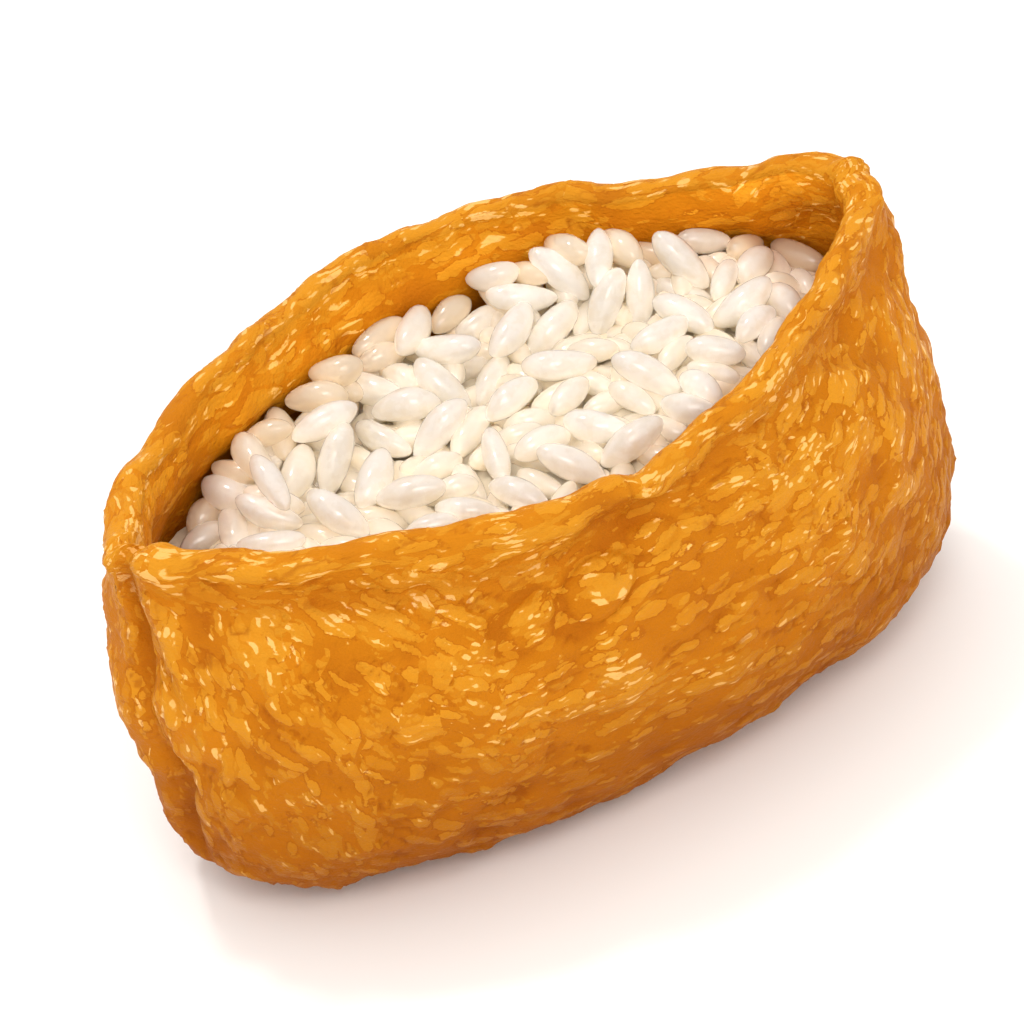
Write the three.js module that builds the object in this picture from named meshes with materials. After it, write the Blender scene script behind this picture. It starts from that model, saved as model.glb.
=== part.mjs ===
// Inari sushi: a boat-shaped pouch of simmered fried tofu, open at the top and
// packed with short-grain rice.  Millimetres, +Z up, +X along the pouch, the
// low front lip towards -Y.  Run with the npm package three (0.186).
import * as THREE from 'three';

// ---------------------------------------------------------------- pouch sizes
const HEIGHT = 40.5;            // ground to the level part of the outer rim
const SHEET = 2.4;              // thickness of the tofu sheet
const LIP_R = 1.2;              // radius of the rounded cut edge
const BULGE = { len: 41.05, front: 20.8, back: 20.8 };   // half sizes at the belly
const NECK = { len: 39.63, front: 18.57, back: 18.56 };    // half sizes at the valley under the lip
const RIM = { len: 38.96, front: 18.89, back: 20.33 };    // half sizes at the rim
const BELLY_LEN_AT = 0.426;     // height share where the ends are fullest
const BELLY_SIDE_AT = 0.55;     // height share where the sides are fullest
const END_ROUND = 3.63;         // fullness of the rounding under the ends
const SIDE_ROUND = 2.2;         // fullness of the rounding under the sides
const NECK_AT = 0.87;           // height share of the neck
const FOOT = 0.35;              // share of the belly that lies flat on the ground
const LEAN = 2.78;              // shift of the foot along the pouch against the rim
const SQUARE_BODY = 2.3;        // plan shape of the body (2 = ellipse)
const SQUARE_RIM = 1.63;        // plan shape of the rim (smaller = more boat-like)
const POINT_FOOT = 0.475, POINT_BODY = 0.482, POINT_RIM = 0.674;  // how far the sides run to a point
const RIM_RISE_RIGHT = 0.5, RIM_DROP_LEFT = 2.12;       // ends of the rim, up and down
const RIM_SAG_FRONT = 5.05, RIM_RISE_BACK = 0.44;        // middle of the rim, down and up

// ----------------------------------------------------------------- rice sizes
const GAP = 0.3;                // rice to sheet
const HEAP_LEVEL = 34.8;        // mean top of the heap at the middle of the pouch
const HEAP_TILT = 0.07;         // rise per millimetre towards the right end
const HEAP_CROWN = 0.9;         // extra height right of the middle
const HEAP_END_DROP = 4.8;      // fall of the heap into the two ends
const GRAIN_RELIEF = 0.5;       // unevenness of the heap's top

// -------------------------------------------------------------------- meshing
const AROUND = 76;              // steps round the pouch
const ROWS_OUT = 20, ROWS_LIP = 5, ROWS_IN = 12, ROWS_RICE = 7, RINGS_TOP = 16;

const { PI, sin, cos, abs, sign, min, max, pow, exp, sqrt } = Math;
const rad = (deg) => deg * PI / 180;
const clamp = (x, a = 0, b = 1) => min(b, max(a, x));
const smooth = (x) => { const u = clamp(x); return u * u * (3 - 2 * u); };
const bell = (x, s) => exp(-((x / s) ** 2));
const turn = (t, c) => ((t - c + PI) % (2 * PI) + 2 * PI) % (2 * PI) - PI;

// value at a of a piecewise straight course through [place, value] pairs
function course(a, pairs) {
  for (let i = 1; i < pairs.length; i++) {
    if (a <= pairs[i][0]) {
      const [x0, y0] = pairs[i - 1], [x1, y1] = pairs[i];
      return y0 + (y1 - y0) * clamp((a - x0) / (x1 - x0));
    }
  }
  return pairs[pairs.length - 1][1];
}

// half size of the pouch at height share h: rounded foot, belly, neck, rim
function halfSize(h, belly, neck, rim, bellyAt, round) {
  if (h < bellyAt) {
    const u = 1 - h / bellyAt;
    return belly * (FOOT + (1 - FOOT) * pow(clamp(1 - pow(u, round)), 1 / round));
  }
  if (h < NECK_AT) return belly - (belly - neck) * smooth((h - bellyAt) / (NECK_AT - bellyAt));
  return neck + (rim - neck) * smooth((h - NECK_AT) / (1 - NECK_AT));
}

// plain shape of the pouch, set in by `inset`; t runs round it (0 = right end,
// 90 deg = back, 180 = left end, 270 = front), h from the foot to the rim
function plain(t, h, inset = 0, floor = 0) {
  const ix = inset * (1 + 0.5 * smooth((h - 0.6) / 0.4));
  const A = halfSize(h, BULGE.len - ix, NECK.len - ix, RIM.len - ix, BELLY_LEN_AT, END_ROUND);
  const F = halfSize(h, BULGE.front - inset, NECK.front - inset, RIM.front - inset, BELLY_SIDE_AT, SIDE_ROUND);
  const B = halfSize(h, BULGE.back - inset, NECK.back - inset, RIM.back - inset, BELLY_SIDE_AT, SIDE_ROUND);
  const point = POINT_FOOT + (POINT_BODY - POINT_FOOT) * smooth(h / 0.5)
    + (POINT_RIM - POINT_BODY) * smooth((h - 0.6) / 0.4);
  const square = SQUARE_BODY + (SQUARE_RIM - SQUARE_BODY) * smooth((h - 0.6) / 0.4);
  const c = cos(t), s = sin(t);
  const cx = sign(c) * pow(abs(c), 2 / square), sy = pow(abs(s), 2 * point);
  const waist = bell(h - 0.30, 0.22);
  const x = A * cx + LEAN * (1 - h) + waist * (1.23 * max(-cx, 0) ** 2 - 0.47 * max(cx, 0) ** 2);
  const y = s >= 0 ? B * sy : -F * sy;
  const w = clamp((h - 0.5) / 0.5) ** 2;
  const ends = RIM_RISE_RIGHT * max(cx, 0) ** 2.5 - RIM_DROP_LEFT * max(-cx, 0) ** 2.5;
  const middle = (s >= 0 ? RIM_RISE_BACK : -RIM_SAG_FRONT) * (1 - cx * cx);
  return new THREE.Vector3(x, y, floor + (HEIGHT - floor) * h + w * (ends + middle));
}

// height share of the valley that runs under the rolled lip
const valleyAt = (t) => course((t * 180 / PI + 360) % 360, [
  [0, .955], [20, .94], [60, .915], [90, .905], [130, .91], [160, .935], [180, .95],
  [206, .925], [221, .92], [235, .885], [249, .845], [257, .85], [266, .89],
  [284, .925], [298, .935], [325, .935], [340, .955], [360, .955]]);
// left end: crease where the front sheet laps over the end, and a second one in front of it
const seamLeft = (h) => rad(course(h, [[0, 184], [.25, 186], [.40, 190], [.54, 187], [.65, 185.5], [.85, 189.5], [1, 189]]));
const seamFront = (h) => rad(course(h, [[.55, 199], [.7, 194.5], [.86, 193.3], [1, 192]]));
const seamRight = (h) => rad(course(h, [[0, -6], [.4, -5], [.6, -3], [.9, -9], [1, -7]]));

// folds and swellings of the sheet, along its outward normal
function folds(t, h) {
  const ends = pow(abs(cos(t)), 8);
  const gh = valleyAt(t), up = smooth((h - 0.12) / 0.15);
  let d = -0.75 * (1 + 0.25 * sin(3 * t + 0.6) + 0.2 * sin(7 * t)) * bell(h - gh, 0.045) * (1 - 0.6 * ends);
  d += 0.35 * bell(h - (gh - 0.16), 0.09) * (1 - ends);
  let x = turn(t, seamLeft(h));
  d -= (1.15 + 0.25 * sin(9 * h + 1)) * bell(x, rad(3.0)) * up;          // crease at the left end
  d += 0.55 * bell(x + rad(8.5), rad(5.0)) * up;                         // roll behind it
  d += 0.50 * bell(x - rad(9), rad(6)) * smooth((h - 0.45) / 0.3);       // swollen edge before it
  d -= 0.5 * bell(turn(t, seamFront(h)), rad(2.2)) * smooth((h - 0.58) / 0.1);
  x = turn(t, seamRight(h));
  d -= 0.7 * bell(x, rad(3.5)) * smooth((h - 0.2) / 0.25) * (1 - 0.3 * h);
  d += 0.45 * bell(x + rad(9), rad(6)) * smooth((h - 0.2) / 0.3);
  // slow swellings all over
  d += 0.28 * sin(5 * t + 1.3 + 2.2 * h) * sin(7 * h + 0.8 * sin(2 * t));
  d += 0.18 * sin(9 * t + 0.4 - 5 * h) * sin(11 * h + 1.1) + 0.12 * sin(15 * t + 2 + 9 * h) * smooth(h / 0.3);
  // full shoulder at the right end, flatter flank below it, lean left end
  d += 1.15 * bell(turn(t, rad(352)), rad(16)) * bell(h - 0.90, 0.09);
  d -= 0.95 * bell(turn(t, rad(338)), rad(16)) * bell(h - 0.56, 0.17);
  d -= 1.15 * bell(turn(t, rad(180)), rad(14)) * bell(h - 0.80, 0.17);
  d += 0.55 * bell(turn(t, rad(158)), rad(12)) * bell(h - 1.0, 0.10);
  d += 0.35 * bell(turn(t, rad(183)), rad(14)) * bell(h - 0.22, 0.14);
  d -= 0.30 * bell(turn(t, rad(222)), rad(18)) * bell(h - 0.12, 0.12);
  d += 0.40 * bell(turn(t, rad(300)), rad(14)) * bell(h - 0.16, 0.12);
  d += 0.45 * bell(turn(t, rad(262)), rad(14)) * bell(h - 0.12, 0.12);
  d -= 0.55 * bell(turn(t, rad(292)), rad(10)) * bell(h - 0.12, 0.12);
  return d * smooth(h / 0.06);
}

// ups and downs of the lip, with a small peak beside the right corner and the
// dip where the back sheet passes behind the front one at the left corner
function rimWave(t) {
  return 0.30 * sin(6 * t + 0.5) + 0.18 * sin(11 * t + 2.1) + 0.10 * sin(19 * t + 0.7)
    + 0.75 * bell(turn(t, rad(17)), rad(8)) - 0.5 * bell(turn(t, rad(10)), rad(4))
    + 0.35 * bell(turn(t, rad(-2)), rad(5)) - 0.80 * bell(turn(t, rad(40)), rad(20))
    + 0.35 * bell(turn(t, rad(88)), rad(16)) - 0.65 * bell(turn(t, rad(128)), rad(18))
    - 0.9 * bell(turn(t, rad(183)), rad(5))
    + 0.55 * bell(turn(t, rad(196)), rad(5));
}

// a point of the folded sheet: the plain shape moved along its normal
function folded(t, h, inset, floor, share) {
  const e = 1e-3, p = plain(t, h, inset, floor);
  const du = plain(t + e, h, inset, floor).sub(plain(t - e, h, inset, floor));
  const dv = plain(t, min(h + e, 1), inset, floor).sub(plain(t, max(h - e, 0), inset, floor));
  const n = du.cross(dv);
  if (n.length() > 1e-9) p.addScaledVector(n.normalize(), share * folds(t, h));
  p.z += smooth((h - 0.72) / 0.28) * rimWave(t);
  return p;
}

// steps round the pouch, closer together at the folded ends
function anglesRound(count) {
  const fine = 3600, sum = [0];
  for (let i = 0; i < fine; i++) {
    const t = (i + 0.5) / fine * 2 * PI;
    sum.push(sum[i] + 1 + 1.5 * bell(turn(t, rad(189)), rad(14)) + 0.8 * bell(turn(t, rad(354)), rad(16)));
  }
  const out = [];
  for (let k = 0, i = 0; k < count; k++) {
    const want = sum[fine] * k / count;
    while (sum[i + 1] < want) i++;
    out.push((i + (want - sum[i]) / (sum[i + 1] - sum[i])) / fine * 2 * PI);
  }
  return out;
}

// closed body from rings of equal count, each end closed to a middle point
function bodyFromRings(rings) {
  const n = rings[0].length, pos = [], index = [];
  for (const ring of rings) for (const p of ring) pos.push(p.x, p.y, p.z);
  for (let r = 0; r + 1 < rings.length; r++) {
    for (let i = 0; i < n; i++) {
      const j = (i + 1) % n, a = r * n + i, b = r * n + j, c = a + n, d = b + n;
      index.push(a, b, d, a, d, c);
    }
  }
  const close = (r, flip) => {
    const mid = new THREE.Vector3();
    for (const p of rings[r]) mid.addScaledVector(p, 1 / n);
    const m = pos.length / 3;
    pos.push(mid.x, mid.y, mid.z);
    for (let i = 0; i < n; i++) {
      const a = r * n + i, b = r * n + (i + 1) % n;
      if (flip) index.push(m, b, a); else index.push(m, a, b);
    }
  };
  close(0, true);
  close(rings.length - 1, false);
  const geometry = new THREE.BufferGeometry();
  geometry.setAttribute('position', new THREE.Float32BufferAttribute(pos, 3));
  geometry.setIndex(index);
  geometry.computeVertexNormals();
  return geometry;
}

const angles = anglesRound(AROUND);

// -------------------------------------------------------------- the tofu pouch
function pouchGeometry() {
  const rings = [];
  for (let r = 0; r <= ROWS_OUT; r++) {                   // outside, foot to rim
    const h = pow(r / ROWS_OUT, 1.35);
    rings.push(angles.map((t) => folded(t, h, 0, 0, 1)));
  }
  const rimOut = rings[rings.length - 1];
  const rimIn = angles.map((t) => folded(t, 1, SHEET, SHEET, 0.7));
  for (let k = 1; k < ROWS_LIP; k++) {                    // over the rounded lip
    const a = PI * k / ROWS_LIP;
    rings.push(rimOut.map((p, i) => {
      const q = p.clone().add(rimIn[i]).multiplyScalar(0.5);
      const off = p.clone().sub(rimIn[i]).multiplyScalar(0.5 * cos(a));
      return q.add(off).add(new THREE.Vector3(0, 0, LIP_R * sin(a)));
    }));
  }
  for (let r = 0; r <= ROWS_IN; r++) {                    // inside, rim to floor
    const h = pow(1 - r / ROWS_IN, 1.35);
    rings.push(angles.map((t) => folded(t, h, SHEET, SHEET, 0.7)));
  }
  return bodyFromRings(rings);
}

// -------------------------------------------------------------- the rice heap
// top of the heap over a place in the pouch
function heapTop(x, y) {
  let z = HEAP_LEVEL + HEAP_TILT * x + HEAP_CROWN * bell(x - 14, 12);
  z -= HEAP_END_DROP * (smooth((-26 - x) / 12) + smooth((x - 24) / 14));
  z -= 1.1 * (y / 15) ** 2 + 0.09 * max(0, -y);
  return z;
}
// grains standing out of the top by part of their thickness
const grains = (x, y) => GRAIN_RELIEF * (
  sin(0.85 * x + 0.9 * sin(0.5 * y)) * sin(0.95 * y + 0.8 * sin(0.45 * x))
  + 0.45 * sin(1.05 * x - 0.7 * y + 1) + 0.3 * sin(0.4 * x + 1.3 * y));

function riceGeometry() {
  const inset = SHEET + GAP, rings = [];
  // height share at which the heap's top meets the sheet, found by halving
  const meet = angles.map((t) => {
    let a = 0.3, b = 1;
    for (let k = 0; k < 30; k++) {
      const m = (a + b) / 2, p = folded(t, m, inset, inset, 0.7);
      if (p.z < heapTop(p.x, p.y) - 0.4) a = m; else b = m;
    }
    return a;
  });
  for (let r = 0; r <= ROWS_RICE; r++) {
    const s = pow(r / ROWS_RICE, 1.35);
    rings.push(angles.map((t, i) => folded(t, s * meet[i], inset, inset, 0.7)));
  }
  const edge = rings[rings.length - 1];
  const mid = new THREE.Vector3(3, -0.5, 0);
  for (let r = 1; r < RINGS_TOP; r++) {                   // over the top, edge to middle
    const s = 1 - r / RINGS_TOP;
    rings.push(edge.map((p) => {
      const x = mid.x + (p.x - mid.x) * s, y = mid.y + (p.y - mid.y) * s;
      return new THREE.Vector3(x, y, heapTop(x, y) + grains(x, y) * smooth((1 - s) * 4));
    }));
  }
  return bodyFromRings(rings);
}

// ------------------------------------------------------------------- assembly
const tofu = new THREE.MeshStandardMaterial({ color: new THREE.Color().setRGB(0.831, 0.514, 0.149, THREE.SRGBColorSpace), roughness: 0.45, metalness: 0 });
const riceWhite = new THREE.MeshStandardMaterial({ color: new THREE.Color().setRGB(0.969, 0.906, 0.816, THREE.SRGBColorSpace), roughness: 0.35, metalness: 0 });

const pouch = new THREE.Mesh(pouchGeometry(), tofu);
pouch.name = 'tofu_pouch';
const rice = new THREE.Mesh(riceGeometry(), riceWhite);
rice.name = 'rice';

const inari = new THREE.Group();
inari.add(pouch, rice);

// centre the whole over the origin, resting on z = 0
const box = new THREE.Box3().setFromObject(inari);
const shift = box.getCenter(new THREE.Vector3()).setZ(box.min.z).negate();
for (const mesh of [pouch, rice]) mesh.geometry.translate(shift.x, shift.y, shift.z);

export default inari;
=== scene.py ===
import math
import bpy
import numpy as np
from mathutils import Vector, Matrix


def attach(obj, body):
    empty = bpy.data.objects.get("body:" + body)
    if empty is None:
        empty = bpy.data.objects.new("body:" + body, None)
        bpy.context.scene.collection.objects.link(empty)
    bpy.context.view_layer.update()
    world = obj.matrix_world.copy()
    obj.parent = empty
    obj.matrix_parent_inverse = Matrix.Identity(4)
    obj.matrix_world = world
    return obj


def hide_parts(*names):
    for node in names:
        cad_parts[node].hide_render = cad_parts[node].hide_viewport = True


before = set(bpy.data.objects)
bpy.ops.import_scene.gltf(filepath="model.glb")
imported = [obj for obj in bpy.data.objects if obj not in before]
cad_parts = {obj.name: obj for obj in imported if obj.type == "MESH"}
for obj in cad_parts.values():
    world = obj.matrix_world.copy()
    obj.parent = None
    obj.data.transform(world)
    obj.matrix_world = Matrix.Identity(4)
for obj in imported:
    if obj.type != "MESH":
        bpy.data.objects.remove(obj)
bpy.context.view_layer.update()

MM = 0.001
rng = np.random.default_rng(20261124)

# =====================================================================
#  sizes of the pouch, in millimetres (the same shape as the CAD solid)
# =====================================================================
HEIGHT = 40.5
SHEET = 2.4
LIP_R = 1.2
BULGE = dict(len=41.05, front=20.8, back=20.8)
NECK = dict(len=39.63, front=18.57, back=18.56)
RIM = dict(len=38.96, front=18.89, back=20.33)
BELLY_LEN_AT, BELLY_SIDE_AT = 0.426, 0.55
END_ROUND, SIDE_ROUND = 3.63, 2.2
NECK_AT, FOOT, LEAN = 0.87, 0.35, 2.78
SQUARE_BODY, SQUARE_RIM = 2.3, 1.63
POINT_FOOT, POINT_BODY, POINT_RIM = 0.475, 0.482, 0.674
RIM_RISE_RIGHT, RIM_DROP_LEFT = 0.5, 2.12
RIM_SAG_FRONT, RIM_RISE_BACK = 5.05, 0.44
SHIFT = np.array([-1.4783, -0.0196, 0.0])      # puts the whole over the origin

HEAP_LEVEL, HEAP_TILT, HEAP_CROWN, HEAP_END_DROP = 34.8, 0.07, 0.9, 4.8

rad = np.radians


def smooth(x):
    x = np.clip(x, 0, 1)
    return x * x * (3 - 2 * x)


def bell(x, s):
    return np.exp(-(x / s) ** 2)


def turn(t, c):
    return (t - c + np.pi) % (2 * np.pi) - np.pi


def half_size(h, belly, neck, rim, belly_at, rnd):
    u = np.clip(1 - h / belly_at, 0, 1)
    low = belly * (FOOT + (1 - FOOT) * np.clip(1 - u ** rnd, 0, 1) ** (1 / rnd))
    mid = belly - (belly - neck) * smooth((h - belly_at) / (NECK_AT - belly_at))
    top = neck + (rim - neck) * smooth((h - NECK_AT) / (1 - NECK_AT))
    return np.where(h < belly_at, low, np.where(h < NECK_AT, mid, top))


def plain(t, h, inset=0.0, floor=0.0):
    """Plain shape of the pouch: t runs round it (0 right end, 90 back, 180 left end, 270 front), h from foot to rim."""
    ix = inset * (1 + 0.5 * smooth((h - 0.6) / 0.4))
    A = half_size(h, BULGE["len"] - ix, NECK["len"] - ix, RIM["len"] - ix, BELLY_LEN_AT, END_ROUND)
    F = half_size(h, BULGE["front"] - inset, NECK["front"] - inset, RIM["front"] - inset, BELLY_SIDE_AT, SIDE_ROUND)
    B = half_size(h, BULGE["back"] - inset, NECK["back"] - inset, RIM["back"] - inset, BELLY_SIDE_AT, SIDE_ROUND)
    point = POINT_FOOT + (POINT_BODY - POINT_FOOT) * smooth(h / 0.5) + (POINT_RIM - POINT_BODY) * smooth((h - 0.6) / 0.4)
    square = SQUARE_BODY + (SQUARE_RIM - SQUARE_BODY) * smooth((h - 0.6) / 0.4)
    c, s = np.cos(t), np.sin(t)
    cx = np.sign(c) * np.abs(c) ** (2 / square)
    sy = np.abs(s) ** (2 * point)
    waist = bell(h - 0.30, 0.22)
    x = A * cx + LEAN * (1 - h) + waist * (1.23 * np.clip(-cx, 0, 1) ** 2 - 0.47 * np.clip(cx, 0, 1) ** 2)
    y = np.where(s >= 0, B * sy, -F * sy)
    w = np.clip((h - 0.5) / 0.5, 0, 1) ** 2
    ends = RIM_RISE_RIGHT * np.clip(cx, 0, 1) ** 2.5 - RIM_DROP_LEFT * np.clip(-cx, 0, 1) ** 2.5
    middle = np.where(s >= 0, RIM_RISE_BACK, -RIM_SAG_FRONT) * (1 - cx * cx)
    z = floor + (HEIGHT - floor) * h + w * (ends + middle)
    return np.stack(np.broadcast_arrays(x, y, z), -1)


def valley_at(t):
    return np.interp(np.degrees(t) % 360,
                     [0, 20, 60, 90, 130, 160, 180, 206, 221, 235, 249, 257, 266, 284, 298, 325, 340, 360],
                     [.955, .94, .915, .905, .91, .935, .95, .925, .92, .885, .845, .85, .89, .925, .935, .935, .955, .955])


def seam_left(h):
    return rad(np.interp(h, [0, .25, .40, .54, .65, .85, 1], [184, 186, 190, 187, 185.5, 189.5, 189]))


def seam_front(h):
    return rad(np.interp(h, [.55, .7, .86, 1], [199, 194.5, 193.3, 192]))


def seam_right(h):
    return rad(np.interp(h, [0, .4, .6, .9, 1], [-6, -5, -3, -9, -7]))


def folds(t, h):
    """Folds and swellings of the sheet along its outward normal."""
    ends = np.abs(np.cos(t)) ** 8
    gh = valley_at(t)
    up = smooth((h - 0.12) / 0.15)
    d = -0.70 * (1 + 0.25 * np.sin(3 * t + 0.6) + 0.2 * np.sin(7 * t)) * bell(h - gh + 0.01, 0.055) * (1 - 0.6 * ends) * (1 - 0.75 * bell(turn(t, rad(207)), rad(26)))
    d = d + 0.35 * bell(h - (gh - 0.16), 0.09) * (1 - ends)
    x = turn(t, seam_left(h))
    d = d - (1.15 + 0.25 * np.sin(9 * h + 1)) * bell(x, rad(3.0)) * up
    d = d + 0.55 * bell(x + rad(8.5), rad(5.0)) * up * (1 - 0.6 * smooth((h - 0.72) / 0.2))
    d = d + 0.50 * bell(x - rad(9), rad(6)) * smooth((h - 0.45) / 0.3)
    d = d + 0.90 * bell(x - rad(6), rad(4.5)) * smooth((h - 0.75) / 0.2)
    d = d - 0.5 * bell(turn(t, seam_front(h)), rad(2.2)) * smooth((h - 0.58) / 0.1)
    x = turn(t, seam_right(h))
    d = d - 0.7 * bell(x, rad(3.5)) * smooth((h - 0.2) / 0.25) * (1 - 0.3 * h)
    d = d + 0.45 * bell(x + rad(9), rad(6)) * smooth((h - 0.2) / 0.3)
    d = d + 0.28 * np.sin(5 * t + 1.3 + 2.2 * h) * np.sin(7 * h + 0.8 * np.sin(2 * t))
    d = d + 0.18 * np.sin(9 * t + 0.4 - 5 * h) * np.sin(11 * h + 1.1) + 0.12 * np.sin(15 * t + 2 + 9 * h) * smooth(h / 0.3)
    d = d + 0.95 * bell(turn(t, rad(352)), rad(16)) * bell(h - 0.90, 0.09)
    d = d - 0.95 * bell(turn(t, rad(338)), rad(16)) * bell(h - 0.56, 0.17)
    d = d - 1.15 * bell(turn(t, rad(180)), rad(14)) * bell(h - 0.80, 0.17)
    d = d + 0.55 * bell(turn(t, rad(158)), rad(12)) * bell(h - 1.0, 0.10)
    d = d + 0.35 * bell(turn(t, rad(183)), rad(14)) * bell(h - 0.22, 0.14)
    d = d - 0.30 * bell(turn(t, rad(222)), rad(18)) * bell(h - 0.12, 0.12)
    d = d + 0.40 * bell(turn(t, rad(300)), rad(14)) * bell(h - 0.16, 0.12)
    d = d + 0.45 * bell(turn(t, rad(262)), rad(14)) * bell(h - 0.12, 0.12)
    d = d - 0.55 * bell(turn(t, rad(292)), rad(10)) * bell(h - 0.12, 0.12)
    return d * smooth(h / 0.06)


def rim_wave(t):
    return (0.30 * np.sin(6 * t + 0.5) + 0.18 * np.sin(11 * t + 2.1) + 0.10 * np.sin(19 * t + 0.7)
            + 0.75 * bell(turn(t, rad(17)), rad(8)) - 0.12 * bell(turn(t, rad(10)), rad(5))
            + 0.12 * bell(turn(t, rad(-2)), rad(5)) - 0.80 * bell(turn(t, rad(40)), rad(20))
            + 0.35 * bell(turn(t, rad(88)), rad(16)) - 0.65 * bell(turn(t, rad(128)), rad(18))
            - 0.6 * bell(turn(t, rad(181)), rad(4)) - 0.6 * bell(turn(t, rad(187.5)), rad(3))
            - 1.3 * bell(turn(t, rad(191)), rad(3.2)) + 0.75 * bell(turn(t, rad(194.5)), rad(3.2)))


def folded(t, h, inset=0.0, floor=0.0, share=1.0):
    e = 1e-3
    t, h = np.broadcast_arrays(np.asarray(t, float), np.asarray(h, float))
    p = plain(t, h, inset, floor)
    du = plain(t + e, h, inset, floor) - plain(t - e, h, inset, floor)
    dv = plain(t, np.minimum(h + e, 1), inset, floor) - plain(t, np.maximum(h - e, 0), inset, floor)
    n = np.cross(du, dv)
    n /= np.maximum(np.linalg.norm(n, axis=-1, keepdims=True), 1e-12)
    p = p + n * (share * folds(t, h))[..., None]
    if inset > 0:               # the sheet is pinched thin where it folds over at the left corner
        p = p + n * (smooth((h - 0.7) / 0.2) * (0.45 * bell(turn(t, rad(181)), rad(8)) + 1.0 * bell(turn(t, rad(187.5)), rad(4))))[..., None]
    p[..., 2] += smooth((h - 0.72) / 0.28) * rim_wave(t)
    return p


# =====================================================================
#  stage: camera, floor, soft studio light
# =====================================================================
def make_camera():
    az, el, roll = rad(-28.867), rad(35.418), rad(-8.348)
    back = np.array([math.sin(az) * math.cos(el), -math.cos(az) * math.cos(el), math.sin(el)])
    right = np.array([math.cos(az), math.sin(az), 0.0])
    up = np.cross(back, right)
    r2 = right * math.cos(roll) + up * math.sin(roll)
    u2 = -right * math.sin(roll) + up * math.cos(roll)
    aim = np.array([0.4383, 2.5496, 21.9027]) + SHIFT
    place = (aim + back * 450.0) * MM
    cam = bpy.data.cameras.new("camera")
    cam.lens, cam.sensor_width = 182.165, 36.0
    cam.clip_start, cam.clip_end = 0.01, 20
    ob = bpy.data.objects.new("camera", cam)
    m = Matrix(((r2[0], u2[0], back[0], place[0]), (r2[1], u2[1], back[1], place[1]),
                (r2[2], u2[2], back[2], place[2]), (0, 0, 0, 1)))
    bpy.context.scene.collection.objects.link(ob)
    ob.matrix_world = m
    bpy.context.scene.camera = ob
    return ob, r2, u2, back


def area(name, place, look, size, watts, colour):
    li = bpy.data.lights.new(name, "AREA")
    li.shape, li.size, li.size_y = "RECTANGLE", size[0], size[1]
    li.energy, li.color = watts, colour
    ob = bpy.data.objects.new(name, li)
    bpy.context.scene.collection.objects.link(ob)
    ob.location = Vector(place)
    ob.rotation_mode = "QUATERNION"
    ob.rotation_quaternion = (Vector(look) - Vector(place)).to_track_quat("-Z", "Y")
    return ob


def link(ob):
    bpy.context.scene.collection.objects.link(ob)
    return ob


def make_stage():
    me = bpy.data.meshes.new("floor")
    s = 6.0
    me.from_pydata([(-s, -s, 0), (s, -s, 0), (s, s, 0), (-s, s, 0)], [], [(0, 1, 2, 3)])
    floor = link(bpy.data.objects.new("floor", me))
    mat = bpy.data.materials.new("pale_floor")
    mat.use_nodes = True
    nt = mat.node_tree
    b = nt.nodes["Principled BSDF"]
    b.inputs["Roughness"].default_value = 0.75
    b.inputs["Specular IOR Level"].default_value = 0.2
    tc = nt.nodes.new("ShaderNodeTexCoord")
    no = nt.nodes.new("ShaderNodeTexNoise")
    no.inputs["Scale"].default_value = 9.0
    ra = nt.nodes.new("ShaderNodeValToRGB")
    ra.color_ramp.elements[0].color = (0.925, 0.915, 0.895, 1)
    ra.color_ramp.elements[1].color = (0.945, 0.935, 0.915, 1)
    nt.links.new(tc.outputs["Object"], no.inputs["Vector"])
    nt.links.new(no.outputs["Fac"], ra.inputs["Fac"])
    nt.links.new(ra.outputs["Color"], b.inputs["Base Color"])
    me.materials.append(mat)
    area("key", (-0.22, -0.41, 0.63), (0, 0, 0.02), (0.26, 0.26), 1.45, (1.0, 0.967, 0.94))
    area("fill", (0.55, -0.45, 0.40), (0, 0, 0.02), (0.6, 0.6), 0.38, (1.0, 0.97, 0.94))
    area("front", (-0.20, -0.66, 0.42), (0, 0, 0.02), (0.5, 0.5), 0.87, (1.0, 0.98, 0.95))
    area("spark", (-0.09, 0.27, 0.77), (0, 0, 0.03), (0.08, 0.08), 1.35, (1.0, 0.985, 0.97))
    area("top", (0.05, 0.30, 0.75), (0, 0, 0.02), (0.6, 0.6), 0.7, (1.0, 0.98, 0.96))
    w = bpy.data.worlds.new("studio")
    w.use_nodes = True
    w.node_tree.nodes["Background"].inputs["Color"].default_value = (1.0, 0.985, 0.97, 1)
    w.node_tree.nodes["Background"].inputs["Strength"].default_value = 0.97
    bpy.context.scene.world = w
    vs = bpy.context.scene.view_settings
    vs.view_transform = "Standard"
    vs.look = "None"


camera, cam_right, cam_up, cam_back = make_camera()
make_stage()


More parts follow.
